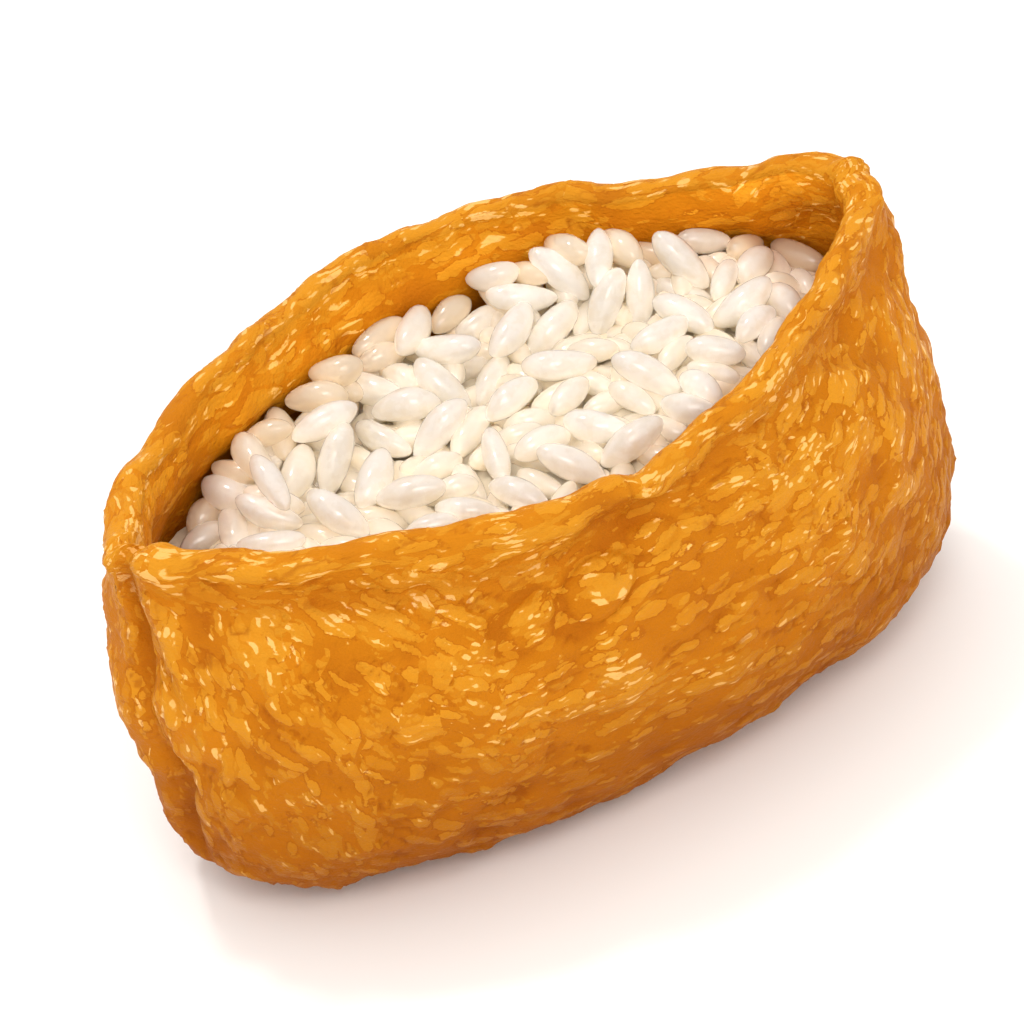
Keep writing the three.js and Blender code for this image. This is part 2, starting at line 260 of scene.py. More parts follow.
# =====================================================================
#  node helpers that work in shader and geometry trees alike
# =====================================================================
class Tree:
    def __init__(self, tree):
        self.t = tree

    def put(self, sock, v):
        if v is None:
            return
        if isinstance(v, bpy.types.NodeSocket):
            self.t.links.new(v, sock)
        else:
            sock.default_value = v

    def math(self, op, a, b=None, c=None, clamp=False):
        n = self.t.nodes.new("ShaderNodeMath")
        n.operation, n.use_clamp = op, clamp
        for i, v in enumerate((a, b, c)):
            if v is not None:
                self.put(n.inputs[i], v)
        return n.outputs[0]

    def vec(self, op, a, b=None, scale=None):
        n = self.t.nodes.new("ShaderNodeVectorMath")
        n.operation = op
        self.put(n.inputs[0], a)
        if b is not None:
            self.put(n.inputs[1], b)
        if scale is not None:
            self.put(n.inputs["Scale"], scale)
        return n.outputs["Value"] if op in ("LENGTH", "DOT_PRODUCT", "DISTANCE") else n.outputs["Vector"]

    def ramp(self, v, lo, hi, a=0.0, b=1.0, kind="SMOOTHSTEP"):
        n = self.t.nodes.new("ShaderNodeMapRange")
        n.interpolation_type = kind
        n.clamp = True
        self.put(n.inputs["Value"], v)
        self.put(n.inputs["From Min"], lo)
        self.put(n.inputs["From Max"], hi)
        self.put(n.inputs["To Min"], a)
        self.put(n.inputs["To Max"], b)
        return n.outputs["Result"]

    def noise(self, v, scale, detail=2.0, rough=0.5, distortion=0.0, lac=2.0):
        n = self.t.nodes.new("ShaderNodeTexNoise")
        n.noise_dimensions = "3D"
        self.put(n.inputs["Vector"], v)
        for k, x in (("Scale", scale), ("Detail", detail), ("Roughness", rough), ("Distortion", distortion), ("Lacunarity", lac)):
            self.put(n.inputs[k], x)
        return n

    def voronoi(self, v, scale, feature="F1", rand=1.0):
        n = self.t.nodes.new("ShaderNodeTexVoronoi")
        n.voronoi_dimensions = "3D"
        n.feature = feature
        self.put(n.inputs["Vector"], v)
        self.put(n.inputs["Scale"], scale)
        self.put(n.inputs["Randomness"], rand)
        return n

    def mix(self, f, a, b):
        """number mix"""
        n = self.t.nodes.new("ShaderNodeMix")
        n.data_type = "FLOAT"
        self.put(n.inputs[0], f)
        self.put(n.inputs[2], a)
        self.put(n.inputs[3], b)
        return n.outputs[0]

    def mixcol(self, f, a, b, kind="MIX"):
        n = self.t.nodes.new("ShaderNodeMix")
        n.data_type = "RGBA"
        n.blend_type = kind
        self.put(n.inputs[0], f)
        self.put(n.inputs[6], a)
        self.put(n.inputs[7], b)
        return n.outputs[2]

    def mixvec(self, f, a, b):
        n = self.t.nodes.new("ShaderNodeMix")
        n.data_type = "VECTOR"
        self.put(n.inputs[0], f)
        self.put(n.inputs[4], a)
        self.put(n.inputs[5], b)
        return n.outputs[1]


# =====================================================================
#  the tofu skin
# =====================================================================
def skin_fields(T, fa, pos, flow):
    """Smooth fields over the fried skin. fa: place on the sheet in mm (round the pouch, and up it); pos: place in
    space; flow: the way the scales run. Gives: warped place, flow with some swirl, creases, and patches."""
    n = T.noise(fa, 0.24, 1.0, 0.5)
    warp = T.vec("SUBTRACT", n.outputs["Color"], (0.5, 0.5, 0.5))
    n2 = T.noise(fa, 1.2, 1.0, 0.5)
    warp2 = T.vec("SUBTRACT", n2.outputs["Color"], (0.5, 0.5, 0.5))
    w = T.vec("ADD", pos, T.vec("ADD", T.vec("SCALE", warp, scale=2.2), T.vec("SCALE", warp2, scale=0.60)))
    n3 = T.noise(T.vec("ADD", fa, (17.0, 5.0, 2.0)), 0.17, 1.5, 0.5)
    run = T.vec("ADD", flow, T.vec("SCALE", T.vec("SUBTRACT", n3.outputs["Color"], (0.5, 0.5, 0.5)), scale=0.55))
    c = stretched(T, w, run, 0.24)
    cn = T.noise(T.vec("ADD", c, (3.1, 7.7, 1.9)), 0.62, 1.0, 0.5).outputs["Fac"]
    crease = T.math("ABSOLUTE", T.math("SUBTRACT", cn, 0.5))
    crease = T.math("ADD", crease, T.ramp(T.vec("DOT_PRODUCT", n.outputs["Color"], (1.0, 0.0, 0.0)), 0.42, 0.58, 0.06, 0.0))
    patch = T.noise(T.vec("ADD", fa, (7.0, 3.0, 9.0)), 0.085, 1.5, 0.5).outputs["Fac"]
    return w, run, crease, patch


def stretched(T, w, run, keep):
    """Places w squeezed to the share keep (a number or a field) along the run, rounded to one of a few directions."""
    r = T.vec("SNAP", T.vec("ADD", T.vec("NORMALIZE", run), (0.25, 0.25, 0.25)), (0.5, 0.5, 0.5))
    r = T.vec("NORMALIZE", r)
    return T.vec("SUBTRACT", w, T.vec("SCALE", r, scale=T.math("MULTIPLY", T.vec("DOT_PRODUCT", w, r), T.math("SUBTRACT", 1.0, keep))))


def skin_scales(T, w, run, grit, long):
    """Leaf-shaped scales, longer where long is 1. Gives: depth into a scale, into a small scale, into a fleck (the
    material paints the flecks as highlights), and a tone for each scale."""
    q, f = stretched(T, w, run, T.mix(long, 0.34, 0.25)), stretched(T, w, run, T.mix(long, 0.24, 0.16))
    v1 = T.voronoi(q, 0.76)                                                     # scales, 1.2 by 2.8 mm
    v2 = T.voronoi(T.vec("ADD", q, (31.7, 12.1, 5.3)), 1.40)                    # scales half that size
    # v3: the flecks, which the material paints as highlights
    v3 = T.voronoi(T.vec("ADD", f, (11.7, 52.1, 25.3)), 2.1)                    # flecks, 0.4 by 1.5 mm
    c1, c2, c3 = (T.vec("DOT_PRODUCT", v.outputs["Color"], (1.0, 0.0, 0.0)) for v in (v1, v2, v3))
    g = T.math("MULTIPLY", T.math("SUBTRACT", grit, 0.5), 0.24)
    d1 = T.math("ADD", T.math("SUBTRACT", T.math("MULTIPLY_ADD", c1, 0.36, 0.32), v1.outputs["Distance"]), g)
    d2 = T.math("ADD", T.math("SUBTRACT", T.math("MULTIPLY_ADD", c2, 0.50, 0.10), v2.outputs["Distance"]), g)
    d3 = T.math("ADD", T.math("SUBTRACT", T.math("MULTIPLY_ADD", c3, 0.62, -0.17), v3.outputs["Distance"]), g)
    return d1, d2, d3, T.vec("DOT_PRODUCT", v1.outputs["Color"], (0.0, 1.0, 0.0))


def float_attr(me, name, values):
    a = me.attributes.new(name, "FLOAT", "POINT")
    a.data.foreach_set("value", np.asarray(values, np.float32).ravel())


def vec_attr(me, name, values):
    a = me.attributes.new(name, "FLOAT_VECTOR", "POINT")
    a.data.foreach_set("vector", np.asarray(values, np.float32).ravel())


NU = 560
ROWS_FOOT, ROWS_OUT, ROWS_LIP, ROWS_IN, ROWS_DEEP = 7, 120, 13, 26, 10


def even_angles(n):
    """Angles at even steps of length round the pouch."""
    f = np.linspace(0, 2 * np.pi, 7201)
    L = np.zeros(7200)
    for h, w in ((0.55, 0.5), (1.0, 0.5)):
        p = folded(f, np.full_like(f, h))
        L += w * np.linalg.norm(np.diff(p, axis=0), axis=1)
    c = np.concatenate([[0], np.cumsum(L)])
    return np.interp(np.linspace(0, c[-1], n, endpoint=False), c, f), c[-1], np.interp(np.linspace(0, 2 * np.pi, 721), f, c)


ang, girth, girth_tab = even_angles(NU)
print("girth", girth)


def rows_by_length(n, a, b, inset, floor, share):
    """Heights from a to b at even steps of mean length up the sheet."""
    f = np.linspace(a, b, 1500)
    tt = ang[::16]
    p = folded(tt[None, :], f[:, None], inset, floor, share)
    L = np.linalg.norm(np.diff(p, axis=0), axis=2).mean(1)
    c = np.concatenate([[0], np.cumsum(L)])
    return np.interp(np.linspace(0, c[-1], n), c, f), np.linspace(0, c[-1], n)


def pouch():
    rows, q = [], []            # points of each ring, and the way along the sheet from the foot
    hh, ql = rows_by_length(ROWS_OUT, 0, 1, 0, 0, 1)
    foot = folded(ang, np.zeros(NU))
    mid = foot.mean(0)
    foot_len = 10.0
    for k in range(1, ROWS_FOOT + 1):
        s = k / (ROWS_FOOT + 1)
        rows.append(mid + (foot - mid) * s)
        q.append(foot_len * s)
    share, kind = [0.0] * ROWS_FOOT, [0] * ROWS_FOOT
    hs = [0.0] * ROWS_FOOT
    for h, l in zip(hh, ql):
        rows.append(folded(ang, np.full(NU, h)))
        q.append(foot_len + l)
        hs.append(h)
        kind.append(1)
    q_rim = q[-1]
    rim_out = rows[-1]
    rim_in = folded(ang, np.ones(NU), SHEET, SHEET, 0.7)
    # the lip: rounded cut edge, swelling a little here and there
    fat = (1 + 0.16 * np.sin(17 * ang + 0.4) * np.sin(5 * ang + 1) + 0.10 * np.sin(31 * ang + 1.0) + 0.10 * np.sin(8 * ang))
    for k in range(1, ROWS_LIP):
        a = math.pi * k / ROWS_LIP
        c = (rim_out + rim_in) / 2 + (rim_out - rim_in) / 2 * math.cos(a)
        c = c + np.array([0, 0, 1.0]) * (LIP_R * math.sin(a) * fat)[:, None]
        rows.append(c)
        q.append(q_rim + LIP_R * a)
        hs.append(1.0)
        kind.append(2)
    q0 = q[-1]
    hi, li = rows_by_length(ROWS_IN, 1.0, 0.60, SHEET, SHEET, 0.7)
    for h, l in zip(hi, li):
        rows.append(folded(ang, np.full(NU, h), SHEET, SHEET, 0.7))
        q.append(q0 + 0.3 + l)
        hs.append(h)
        kind.append(3)
    q0 = q[-1]
    hd, ld = rows_by_length(ROWS_DEEP + 1, 0.60, 0.0, SHEET, SHEET, 0.7)
    for h, l in zip(hd[1:], ld[1:]):
        rows.append(folded(ang, np.full(NU, h), SHEET, SHEET, 0.7))
        q.append(q0 + l)
        hs.append(h)
        kind.append(4)
    bed = rows[-1]
    for k in range(2, 0, -1):
        s = k / 3
        m = bed.mean(0)
        rows.append(m + (bed - m) * s)
        q.append(q[-1] + 3)
        hs.append(0.0)
        kind.append(4)
    P = np.array(rows)
    R, N = P.shape[0], NU
    # place on the sheet, for patterns without a seam
    theta = 2 * np.pi * np.arange(N) / N
    rr = girth / (2 * np.pi)
    qq = np.array(q)
    rho = np.ones(R)
    for i in range(R):
        size = np.linalg.norm(P[i] - P[i].mean(0), axis=1).mean()
        rho[i] = size
    rho = np.minimum(rho / rho[ROWS_FOOT + ROWS_OUT // 2], 1.05)
    quick_ = np.where(np.array(kind) >= 2, 1.0, smooth((np.array(hs) - 0.90) / 0.08))
    qq = np.concatenate([[0], np.cumsum(np.diff(qq) * (1 + 0.55 * quick_[1:]))])
    fa = np.stack([rr * rho[:, None] * np.cos(theta)[None], rr * rho[:, None] * np.sin(theta)[None],
                   np.broadcast_to(qq[:, None], (R, N))], -1)
    # the same for the whole thickness of the sheet: the place on its outer face
    qo = np.interp(np.array(hs), hh, foot_len + ql)
    qo[:ROWS_FOOT] = q[:ROWS_FOOT]
    ro = np.interp(np.array(hs), hh, rho[ROWS_FOOT:ROWS_FOOT + ROWS_OUT])
    ro[:ROWS_FOOT] = rho[:ROWS_FOOT]
    fl = np.stack([rr * ro[:, None] * np.cos(theta)[None], rr * ro[:, None] * np.sin(theta)[None],
                   np.broadcast_to(qo[:, None], (R, N))], -1)
    H = np.broadcast_to(np.array(hs)[:, None], (R, N))
    Tt = np.broadcast_to(ang[None], (R, N))
    K = np.broadcast_to(np.array(kind)[:, None], (R, N))
    return P, fa, fl, H, Tt, K


P, fa, fl, H, Tt, K = pouch()
R, N = P.shape[:2]


def ring_normals(P):
    du = np.roll(P, -1, 1) - np.roll(P, 1, 1)
    dv = np.gradient(P, axis=0)
    n = np.cross(du, dv)
    n /= np.maximum(np.linalg.norm(n, axis=-1, keepdims=True), 1e-9)
    return n


def build_grid_mesh(name, P, close_lo=True, close_hi=True):
    R, N = P.shape[:2]
    verts = P.reshape(-1, 3)
    i = np.arange(N)
    j = (i + 1) % N
    quads = []
    for r in range(R - 1):
        quads.append(np.stack([r * N + i, r * N + j, (r + 1) * N + j, (r + 1) * N + i], 1))
    quads = np.concatenate(quads)
    extra = []
    tris = []
    if close_lo:
        extra.append(P[0].mean(0))
        m = R * N
        tris.append(np.stack([np.full(N, m), j, i], 1))
    if close_hi:
        extra.append(P[-1].mean(0))
        m = R * N + len(extra) - 1
        b = (R - 1) * N
        tris.append(np.stack([np.full(N, m), b + i, b + j], 1))
    verts = np.concatenate([verts, np.array(extra)]) if extra else verts
    tris = np.concatenate(tris) if tris else np.zeros((0, 3), int)
    me = bpy.data.meshes.new(name)
    me.vertices.add(len(verts))
    me.vertices.foreach_set("co", (verts * MM).astype(np.float32).ravel())
    nl = len(quads) * 4 + len(tris) * 3
    me.loops.add(nl)
    me.loops.foreach_set("vertex_index", np.concatenate([quads.ravel(), tris.ravel()]).astype(np.int32))
    me.polygons.add(len(quads) + len(tris))
    starts = np.concatenate([np.arange(len(quads)) * 4, len(quads) * 4 + np.arange(len(tris)) * 3]).astype(np.int32)
    me.polygons.foreach_set("loop_start", starts)
    me.update(calc_edges=True)
    me.validate()
    me.polygons.foreach_set("use_smooth", np.ones(len(me.polygons), bool))
    return me, len(extra)


def lay_flat(me, u, v, cell=None, cells=1):
    """Adds a flat map of the mesh: u round and v along, from 0 to 1, nan at the points where it closes. With cells,
    each part gets its own square of a cells by cells sheet."""
    li = np.empty(len(me.loops), np.int32)
    me.loops.foreach_get("vertex_index", li)
    n = len(me.polygons)
    total = np.empty(n, np.int32)
    me.polygons.foreach_get("loop_total", total)
    face = np.repeat(np.arange(n), total)
    lu, lv = u[li].copy(), v[li].copy()
    pole = np.isnan(lu)
    hi, lo = np.full(n, -1.0), np.full(n, 2.0)
    np.maximum.at(hi, face[~pole], lu[~pole])
    np.minimum.at(lo, face[~pole], lu[~pole])
    lu[(hi - lo > 0.5)[face] & (lu < 0.5)] += 1
    some, k = np.zeros(n), np.zeros(n)
    np.add.at(some, face[~pole], lu[~pole])
    np.add.at(k, face[~pole], 1)
    lu[pole] = (some / np.maximum(k, 1))[face][pole]
    c = np.zeros(len(li), int) if cell is None else cell[li]
    edge = 0.002 if cell is None else 0.06
    uv = np.stack([(c % cells + edge + (1 - 2 * edge) * lu) / cells, (c // cells + edge + (1 - 2 * edge) * lv) / cells], 1)
    me.uv_layers.new(name="OFBake").data.foreach_set("uv", uv.astype(np.float32).ravel())


def grid_flat(me, P):
    """The flat map of a mesh from build_grid_mesh."""
    R, N = P.shape[:2]
    step = np.linalg.norm(np.diff(P, axis=0), axis=-1).mean(1)
    ends = [np.linalg.norm(P[k] - P[k].mean(0), axis=1).mean() for k in (0, -1)]
    v = ends[0] + np.concatenate([[0], np.cumsum(step)])
    v = v / (v[-1] + ends[1])
    u = np.tile(np.arange(N) / N, R)
    lay_flat(me, np.concatenate([u, [np.nan, np.nan]]), np.concatenate([np.repeat(v, N), [0.0, 1.0]]))


def with_extra(a, k):
    """Adds values for the closing middle points."""
    flat = a.reshape(-1, *a.shape[2:])
    add = [a[0].mean(0), a[-1].mean(0)][:k]
    return np.concatenate([flat, np.array(add).reshape(k, *a.shape[2:])])


# masks
deg = np.degrees(Tt) % 360
# the way the scales run: along the pouch in the middle, and turning up towards the two corners
way = np.interp(deg, [0, 15, 30, 45, 60, 90, 120, 135, 150, 165, 180, 190, 205, 222, 235, 250, 270, 285, 300, 315, 330, 345, 360],
                [-280, -265, -245, -215, -195, -180, -165, -140, -115, -100, -90, -85, -74, -58, -38, -14, 0, 8, 22, 42, 58, 68, 80])
base = np.where(deg < 180, -180.0, 0.0)
keep_up = np.where(K == 1, 1 - smooth((H - 0.86) / 0.10) * 0.85, np.where(K == 0, 1.0, 0.0))
way = rad(base + (way - base) * keep_up)
around = np.roll(P, -1, 1) - np.roll(P, 1, 1)
around /= np.maximum(np.linalg.norm(around, axis=-1, keepdims=True), 1e-9)
upward = np.gradient(P, axis=0)
upward[K >= 3] *= -1
upward[K == 2] = [0, 0, 1]
upward = upward - around * (upward * around).sum(-1, keepdims=True)
upward /= np.maximum(np.linalg.norm(upward, axis=-1, keepdims=True), 1e-9)
flow = around * np.cos(way)[..., None] + upward * np.sin(way)[..., None]
valley = bell(H - valley_at(Tt), 0.05) * (K == 1)
cre = np.maximum(bell(turn(Tt, seam_left(H)), rad(2.6)) * smooth((H - 0.1) / 0.15),
                 0.7 * bell(turn(Tt, seam_front(H)), rad(2.0)) * smooth((H - 0.58) / 0.1))
cre = np.maximum(cre, 0.8 * bell(turn(Tt, seam_right(H)), rad(3.0)) * smooth((H - 0.2) / 0.25)) * (K == 1)
inside = smooth((K - 2.0) / 1.0) * 1.0
lip = np.where(K == 2, 1.0, np.where(K == 1, smooth((H - 0.955) / 0.04), np.where(K == 3, smooth((H - 0.95) / 0.05), 0)))
relief = np.where(K <= 1, 1.0, np.where(K == 2, 0.55, np.where(K == 3, 0.75, 0.0)))
relief = relief * np.where(K == 0, 0.0, 1.0) * np.where(K == 1, smooth(H / 0.04), 1.0)
lumps = np.where(K == 0, 0.0, np.where(K == 1, smooth(H / 0.05), np.where(K == 4, 0.85 * smooth((H - 0.35) / 0.25), np.where(K == 3, 0.85, 0.92))))


# round knobs of the skin low on the front lip, each in a ring-shaped valley
knob = np.zeros(Tt.shape)
for t0, h0, size, up in ((263.0, 0.735, 3.3, 0.75), (254.5, 0.72, 2.6, 0.45), (271.0, 0.80, 2.2, 0.35)):
    i0 = int(np.argmin(np.abs(ang - rad(t0))))
    r0 = ROWS_FOOT + int(np.argmin(np.abs(H[ROWS_FOOT:ROWS_FOOT + ROWS_OUT, 0] - h0)))
    r = np.linalg.norm(fa - fa[r0, i0], axis=-1) * (1 + 0.12 * np.sin(9 * Tt + 14 * H))
    on = (K == 1)
    d = up * bell(r, size * 0.62) - 0.85 * up * bell(r - size * 1.12, size * 0.24)
    P = P + ring_normals(P) * (d * on)[..., None]
    knob = knob + d * on

calm = 1 - 0.75 * bell(turn(Tt, rad(187)), rad(7)) * smooth((H - 0.75) / 0.12)
calm = np.where(K == 2, np.minimum(calm, 1 - 0.75 * bell(turn(Tt, rad(187)), rad(7))), calm)
relief, lumps = relief * calm, lumps * calm
nrm = ring_normals(P)
nl = nrm * np.where(K >= 3, -1.0, 1.0)[..., None]
nl[K == 2] = np.broadcast_to(nl[ROWS_FOOT + ROWS_OUT - 1], (ROWS_LIP - 1, N, 3)).reshape(-1, 3)
me, ex = build_grid_mesh("tofu_skin", P + SHIFT)
vec_attr(me, "fa", with_extra(fa, ex))
vec_attr(me, "nrm", with_extra(nrm, ex))
vec_attr(me, "fl", with_extra(fl, ex))
vec_attr(me, "pos", with_extra(P, ex))
vec_attr(me, "flow", with_extra(flow, ex))
vec_attr(me, "nl", with_extra(nl, ex))
# corner: the inner face at the right back, which the material paints lighter against its shade
for nm, v in (("lumps", lumps), ("valley", valley), ("crease", cre), ("inside", inside), ("lip", lip), ("relief", relief), ("knob", knob), ("hh", H * 1.0), ("corner", bell(turn(Tt, rad(28)), rad(22)) * (K >= 3))):
    float_attr(me, nm, with_extra(np.ascontiguousarray(v).astype(float), ex))
skin = link(bpy.data.objects.new("tofu_skin", me))


def displace_skin(ob):
    """Geometry nodes: the scales, lumps and wrinkles as real relief; the tree is applied and then removed."""
    g = bpy.data.node_groups.new("skin_relief", "GeometryNodeTree")
    g.interface.new_socket("Geometry", in_out="INPUT", socket_type="NodeSocketGeometry")
    g.interface.new_socket("Geometry", in_out="OUTPUT", socket_type="NodeSocketGeometry")
    T = Tree(g)
    gi, go = g.nodes.new("NodeGroupInput"), g.nodes.new("NodeGroupOutput")

    def attr(name, kind="FLOAT"):
        n = g.nodes.new("GeometryNodeInputNamedAttribute")
        n.data_type = kind
        n.inputs["Name"].default_value = name
        return n.outputs["Attribute"]
    fa_, nr = attr("fa", "FLOAT_VECTOR"), attr("nrm", "FLOAT_VECTOR")
    fl_, nl = attr("fl", "FLOAT_VECTOR"), attr("nl", "FLOAT_VECTOR")
    rl, rb = attr("relief"), attr("lumps")
    fields = skin_fields(T, fa_, attr("pos", "FLOAT_VECTOR"), attr("flow", "FLOAT_VECTOR"))
    warped, run, crs, patch = fields
    lump = T.noise(fl_, 0.16, 1.0, 0.45).outputs["Fac"]              # about 6 mm
    lump2 = T.noise(T.vec("MULTIPLY", fl_, (0.8, 0.8, 1.0)), 0.34, 1.0, 0.45).outputs["Fac"]    # about 3 mm
    g1 = T.math("MULTIPLY", T.math("SUBTRACT", lump, 0.5), 1.2)
    g1 = T.math("ADD", g1, T.math("MULTIPLY", T.math("SUBTRACT", lump2, 0.5), 1.0))
    g1 = T.math("MULTIPLY", g1, rb)
    geo = gi.outputs[0]
    for nm, v in zip(("warped", "run", "crs", "patch", "rise"), fields + (T.math("ADD", g1, attr("knob")),)):
        st = g.nodes.new("GeometryNodeStoreNamedAttribute")
        st.data_type = "FLOAT_VECTOR" if nm in ("warped", "run") else "FLOAT"
        st.domain = "POINT"
        st.inputs["Name"].default_value = nm
        g.links.new(geo, st.inputs["Geometry"])
        g.links.new(v, st.inputs["Value"])
        geo = st.outputs["Geometry"]
    d1, d2, d3, tone = skin_scales(T, warped, run, 0.5, T.math("GREATER_THAN", T.math("MAXIMUM", attr("lip"), attr("inside")), 0.5))
    crs = T.ramp(crs, 0.0, 0.045, 1.0, 0.0)
    h = T.math("MULTIPLY", T.ramp(d1, -0.16, 0.16), 0.17)
    h = T.math("SUBTRACT", h, T.math("MULTIPLY", crs, 0.18))
    h = T.math("ADD", h, T.math("MULTIPLY", T.ramp(d2, -0.12, 0.16), 0.07))
    h = T.math("MULTIPLY", h, rl)
    off = T.vec("ADD", T.vec("SCALE", nr, scale=T.math("MULTIPLY", h, MM)),
                T.vec("SCALE", nl, scale=T.math("MULTIPLY", g1, MM)))
    sp = g.nodes.new("GeometryNodeSetPosition")
    g.links.new(geo, sp.inputs["Geometry"])
    g.links.new(off, sp.inputs["Offset"])
    g.links.new(sp.outputs["Geometry"], go.inputs[0])
    m = ob.modifiers.new("relief", "NODES")
    m.node_group = g
    dg = bpy.context.evaluated_depsgraph_get()
    new = bpy.data.meshes.new_from_object(ob.evaluated_get(dg), preserve_all_data_layers=True, depsgraph=dg)
    ob.modifiers.clear()
    old = ob.data
    ob.data = new
    new.name = old.name + "_mesh"
    bpy.data.meshes.remove(old)
    bpy.data.node_groups.remove(g)
    co = np.empty(len(new.vertices) * 3, np.float32)
    new.vertices.foreach_get("co", co)
    co = co.reshape(-1, 3)
    co[:, 2] = np.maximum(co[:, 2], 0.0)
    new.vertices.foreach_set("co", co.ravel())
    new.update()
    new.polygons.foreach_set("use_smooth", np.ones(len(new.polygons), bool))
    return new


displace_skin(skin)
grid_flat(skin.data, P)


def skin_material():
    mat = bpy.data.materials.new("fried_tofu_skin")
    mat.use_nodes = True
    nt = mat.node_tree
    T = Tree(nt)
    b = nt.nodes["Principled BSDF"]

    def attr(name, out="Fac"):
        n = nt.nodes.new("ShaderNodeAttribute")
        n.attribute_name = name
        return n.outputs[out]
    fa_ = attr("fa", "Vector")
    vl, cr, ins, lp, hh = attr("valley"), attr("crease"), attr("inside"), attr("lip"), attr("hh")
    crs, patch, rise = (attr(k) for k in ("crs", "patch", "rise"))
    fine = T.noise(fa_, 2.6, 2.0, 0.55).outputs["Fac"]
    d1, d2, d3, tone = skin_scales(T, attr("warped", "Vector"), attr("run", "Vector"), fine, T.math("GREATER_THAN", T.math("MAXIMUM", lp, ins), 0.5))
    crs = T.ramp(crs, 0.0, 0.045, 1.0, 0.0)
    band = T.math("MULTIPLY", T.ramp(hh, 0.50, 0.68), T.ramp(hh, 0.80, 0.92, 1.0, 0.0))
    # scales, small scales and flecks gather in random patches and on the swellings, the paler inside the darker; more
    # of them on the swellings and fewer in the valleys is painted light and painted shade
    tone_and_painted_light = T.math("ADD", T.ramp(rise, -0.5, 0.5, -0.13, 0.13), T.ramp(patch, 0.35, 0.65, -0.07, 0.07))
    # painted light: more scales and painted highlights in a belt of the upper body, and more still on the lip
    tone_and_painted_light = T.math("ADD", tone_and_painted_light, T.math("MULTIPLY", T.math("ADD", band, T.math("MULTIPLY", lp, 1.6)), 0.045))
    # painted shade: fewer scales and painted highlights on the inner face below the lip
    tone_and_painted_light = T.math("SUBTRACT", tone_and_painted_light, T.math("MULTIPLY", ins, T.ramp(hh, 0.86, 0.98, 0.07, 0.0)))
    # painted shade: fewer scales and painted highlights low down
    tone_and_painted_light = T.math("SUBTRACT", tone_and_painted_light, T.ramp(hh, 0.18, 0.58, 0.14, 0.0))
    e1 = T.math("ADD", d1, T.math("MULTIPLY", tone_and_painted_light, 0.7))
    e2 = T.math("ADD", T.math("ADD", d2, tone_and_painted_light), T.math("MULTIPLY", T.math("MINIMUM", d1, 0.15), 0.5))
    e3 = T.math("ADD", T.math("ADD", d3, T.math("MULTIPLY", tone_and_painted_light, 1.3)), T.math("MULTIPLY", T.math("MINIMUM", T.math("MAXIMUM", e1, e2), 0.15), 0.6))
    s1, s2, s3 = T.ramp(e1, -0.015, 0.015), T.ramp(e2, -0.005, 0.03), T.ramp(e3, 0.145, 0.185)
    ground, scale_c, light = (0.500, 0.157, 0.0040, 1), (0.560, 0.200, 0.0075, 1), (0.62, 0.250, 0.0150, 1)
    painted_highlight, shade_umber = (0.85, 0.46, 0.12, 1), (0.37, 0.092, 0.0025, 1)
    c = T.mixcol(T.ramp(patch, 0.40, 0.60), ground, (0.555, 0.182, 0.0055, 1))
    # painted shade: darker in the valleys between the swellings, and the scales there nearer the ground colour
    c = T.mixcol(T.ramp(rise, -0.45, -0.03, 0.55, 0.0), c, shade_umber)
    c = T.mixcol(s1, c, T.mixcol(T.ramp(rise, -0.35, 0.10, 0.45, 0.0), T.mixcol(T.ramp(tone, 0.2, 0.8), scale_c, (0.63, 0.248, 0.013, 1)), ground))
    c = T.mixcol(T.math("MULTIPLY", s2, 0.7), c, light)
    # painted highlights: each fleck an orange halo round a light yellow core
    c = T.mixcol(T.math("MULTIPLY", T.ramp(e3, 0.08, 0.11), 0.45), c, (0.78, 0.38, 0.050, 1))
    c = T.mixcol(s3, c, painted_highlight)
    # painted shade: a darker ring just outside some scales, at their foot
    ring = T.math("MULTIPLY", T.ramp(e1, -0.09, -0.02), T.math("SUBTRACT", 1.0, s1))
    ring = T.math("MULTIPLY", ring, T.ramp(tone, 0.35, 0.6))
    c = T.mixcol(T.math("MULTIPLY", ring, 0.55), c, shade_umber)
    # painted shade: darker in the crease lines, in the groove under the lip and in the folds at the seams
    c = T.mixcol(T.math("MULTIPLY", crs, 0.65), c, shade_umber)
    c = T.mixcol(T.math("MULTIPLY", vl, 0.35), c, shade_umber)
    c = T.mixcol(T.math("MULTIPLY", cr, 0.50), c, shade_umber)
    # painted light: the lip a little lighter, as its top faces the light
    c = T.mixcol(T.math("MULTIPLY", lp, 0.12), c, light)
    # painted shade: the outer face darker towards the bottom
    c = T.mixcol(T.math("MULTIPLY", T.ramp(hh, 0.12, 0.66, 1.0, 0.0), T.math("SUBTRACT", 1.0, ins)), c, T.mixcol(1.0, c, (0.65, 0.55, 0.42, 1), "MULTIPLY"))
    # painted light: the inner face lighter, against the shade it lies in
    c = T.mixcol(T.math("MULTIPLY", ins, 0.9), c, T.mixcol(1.0, c, (1.20, 1.18, 1.0, 1), "MULTIPLY"))
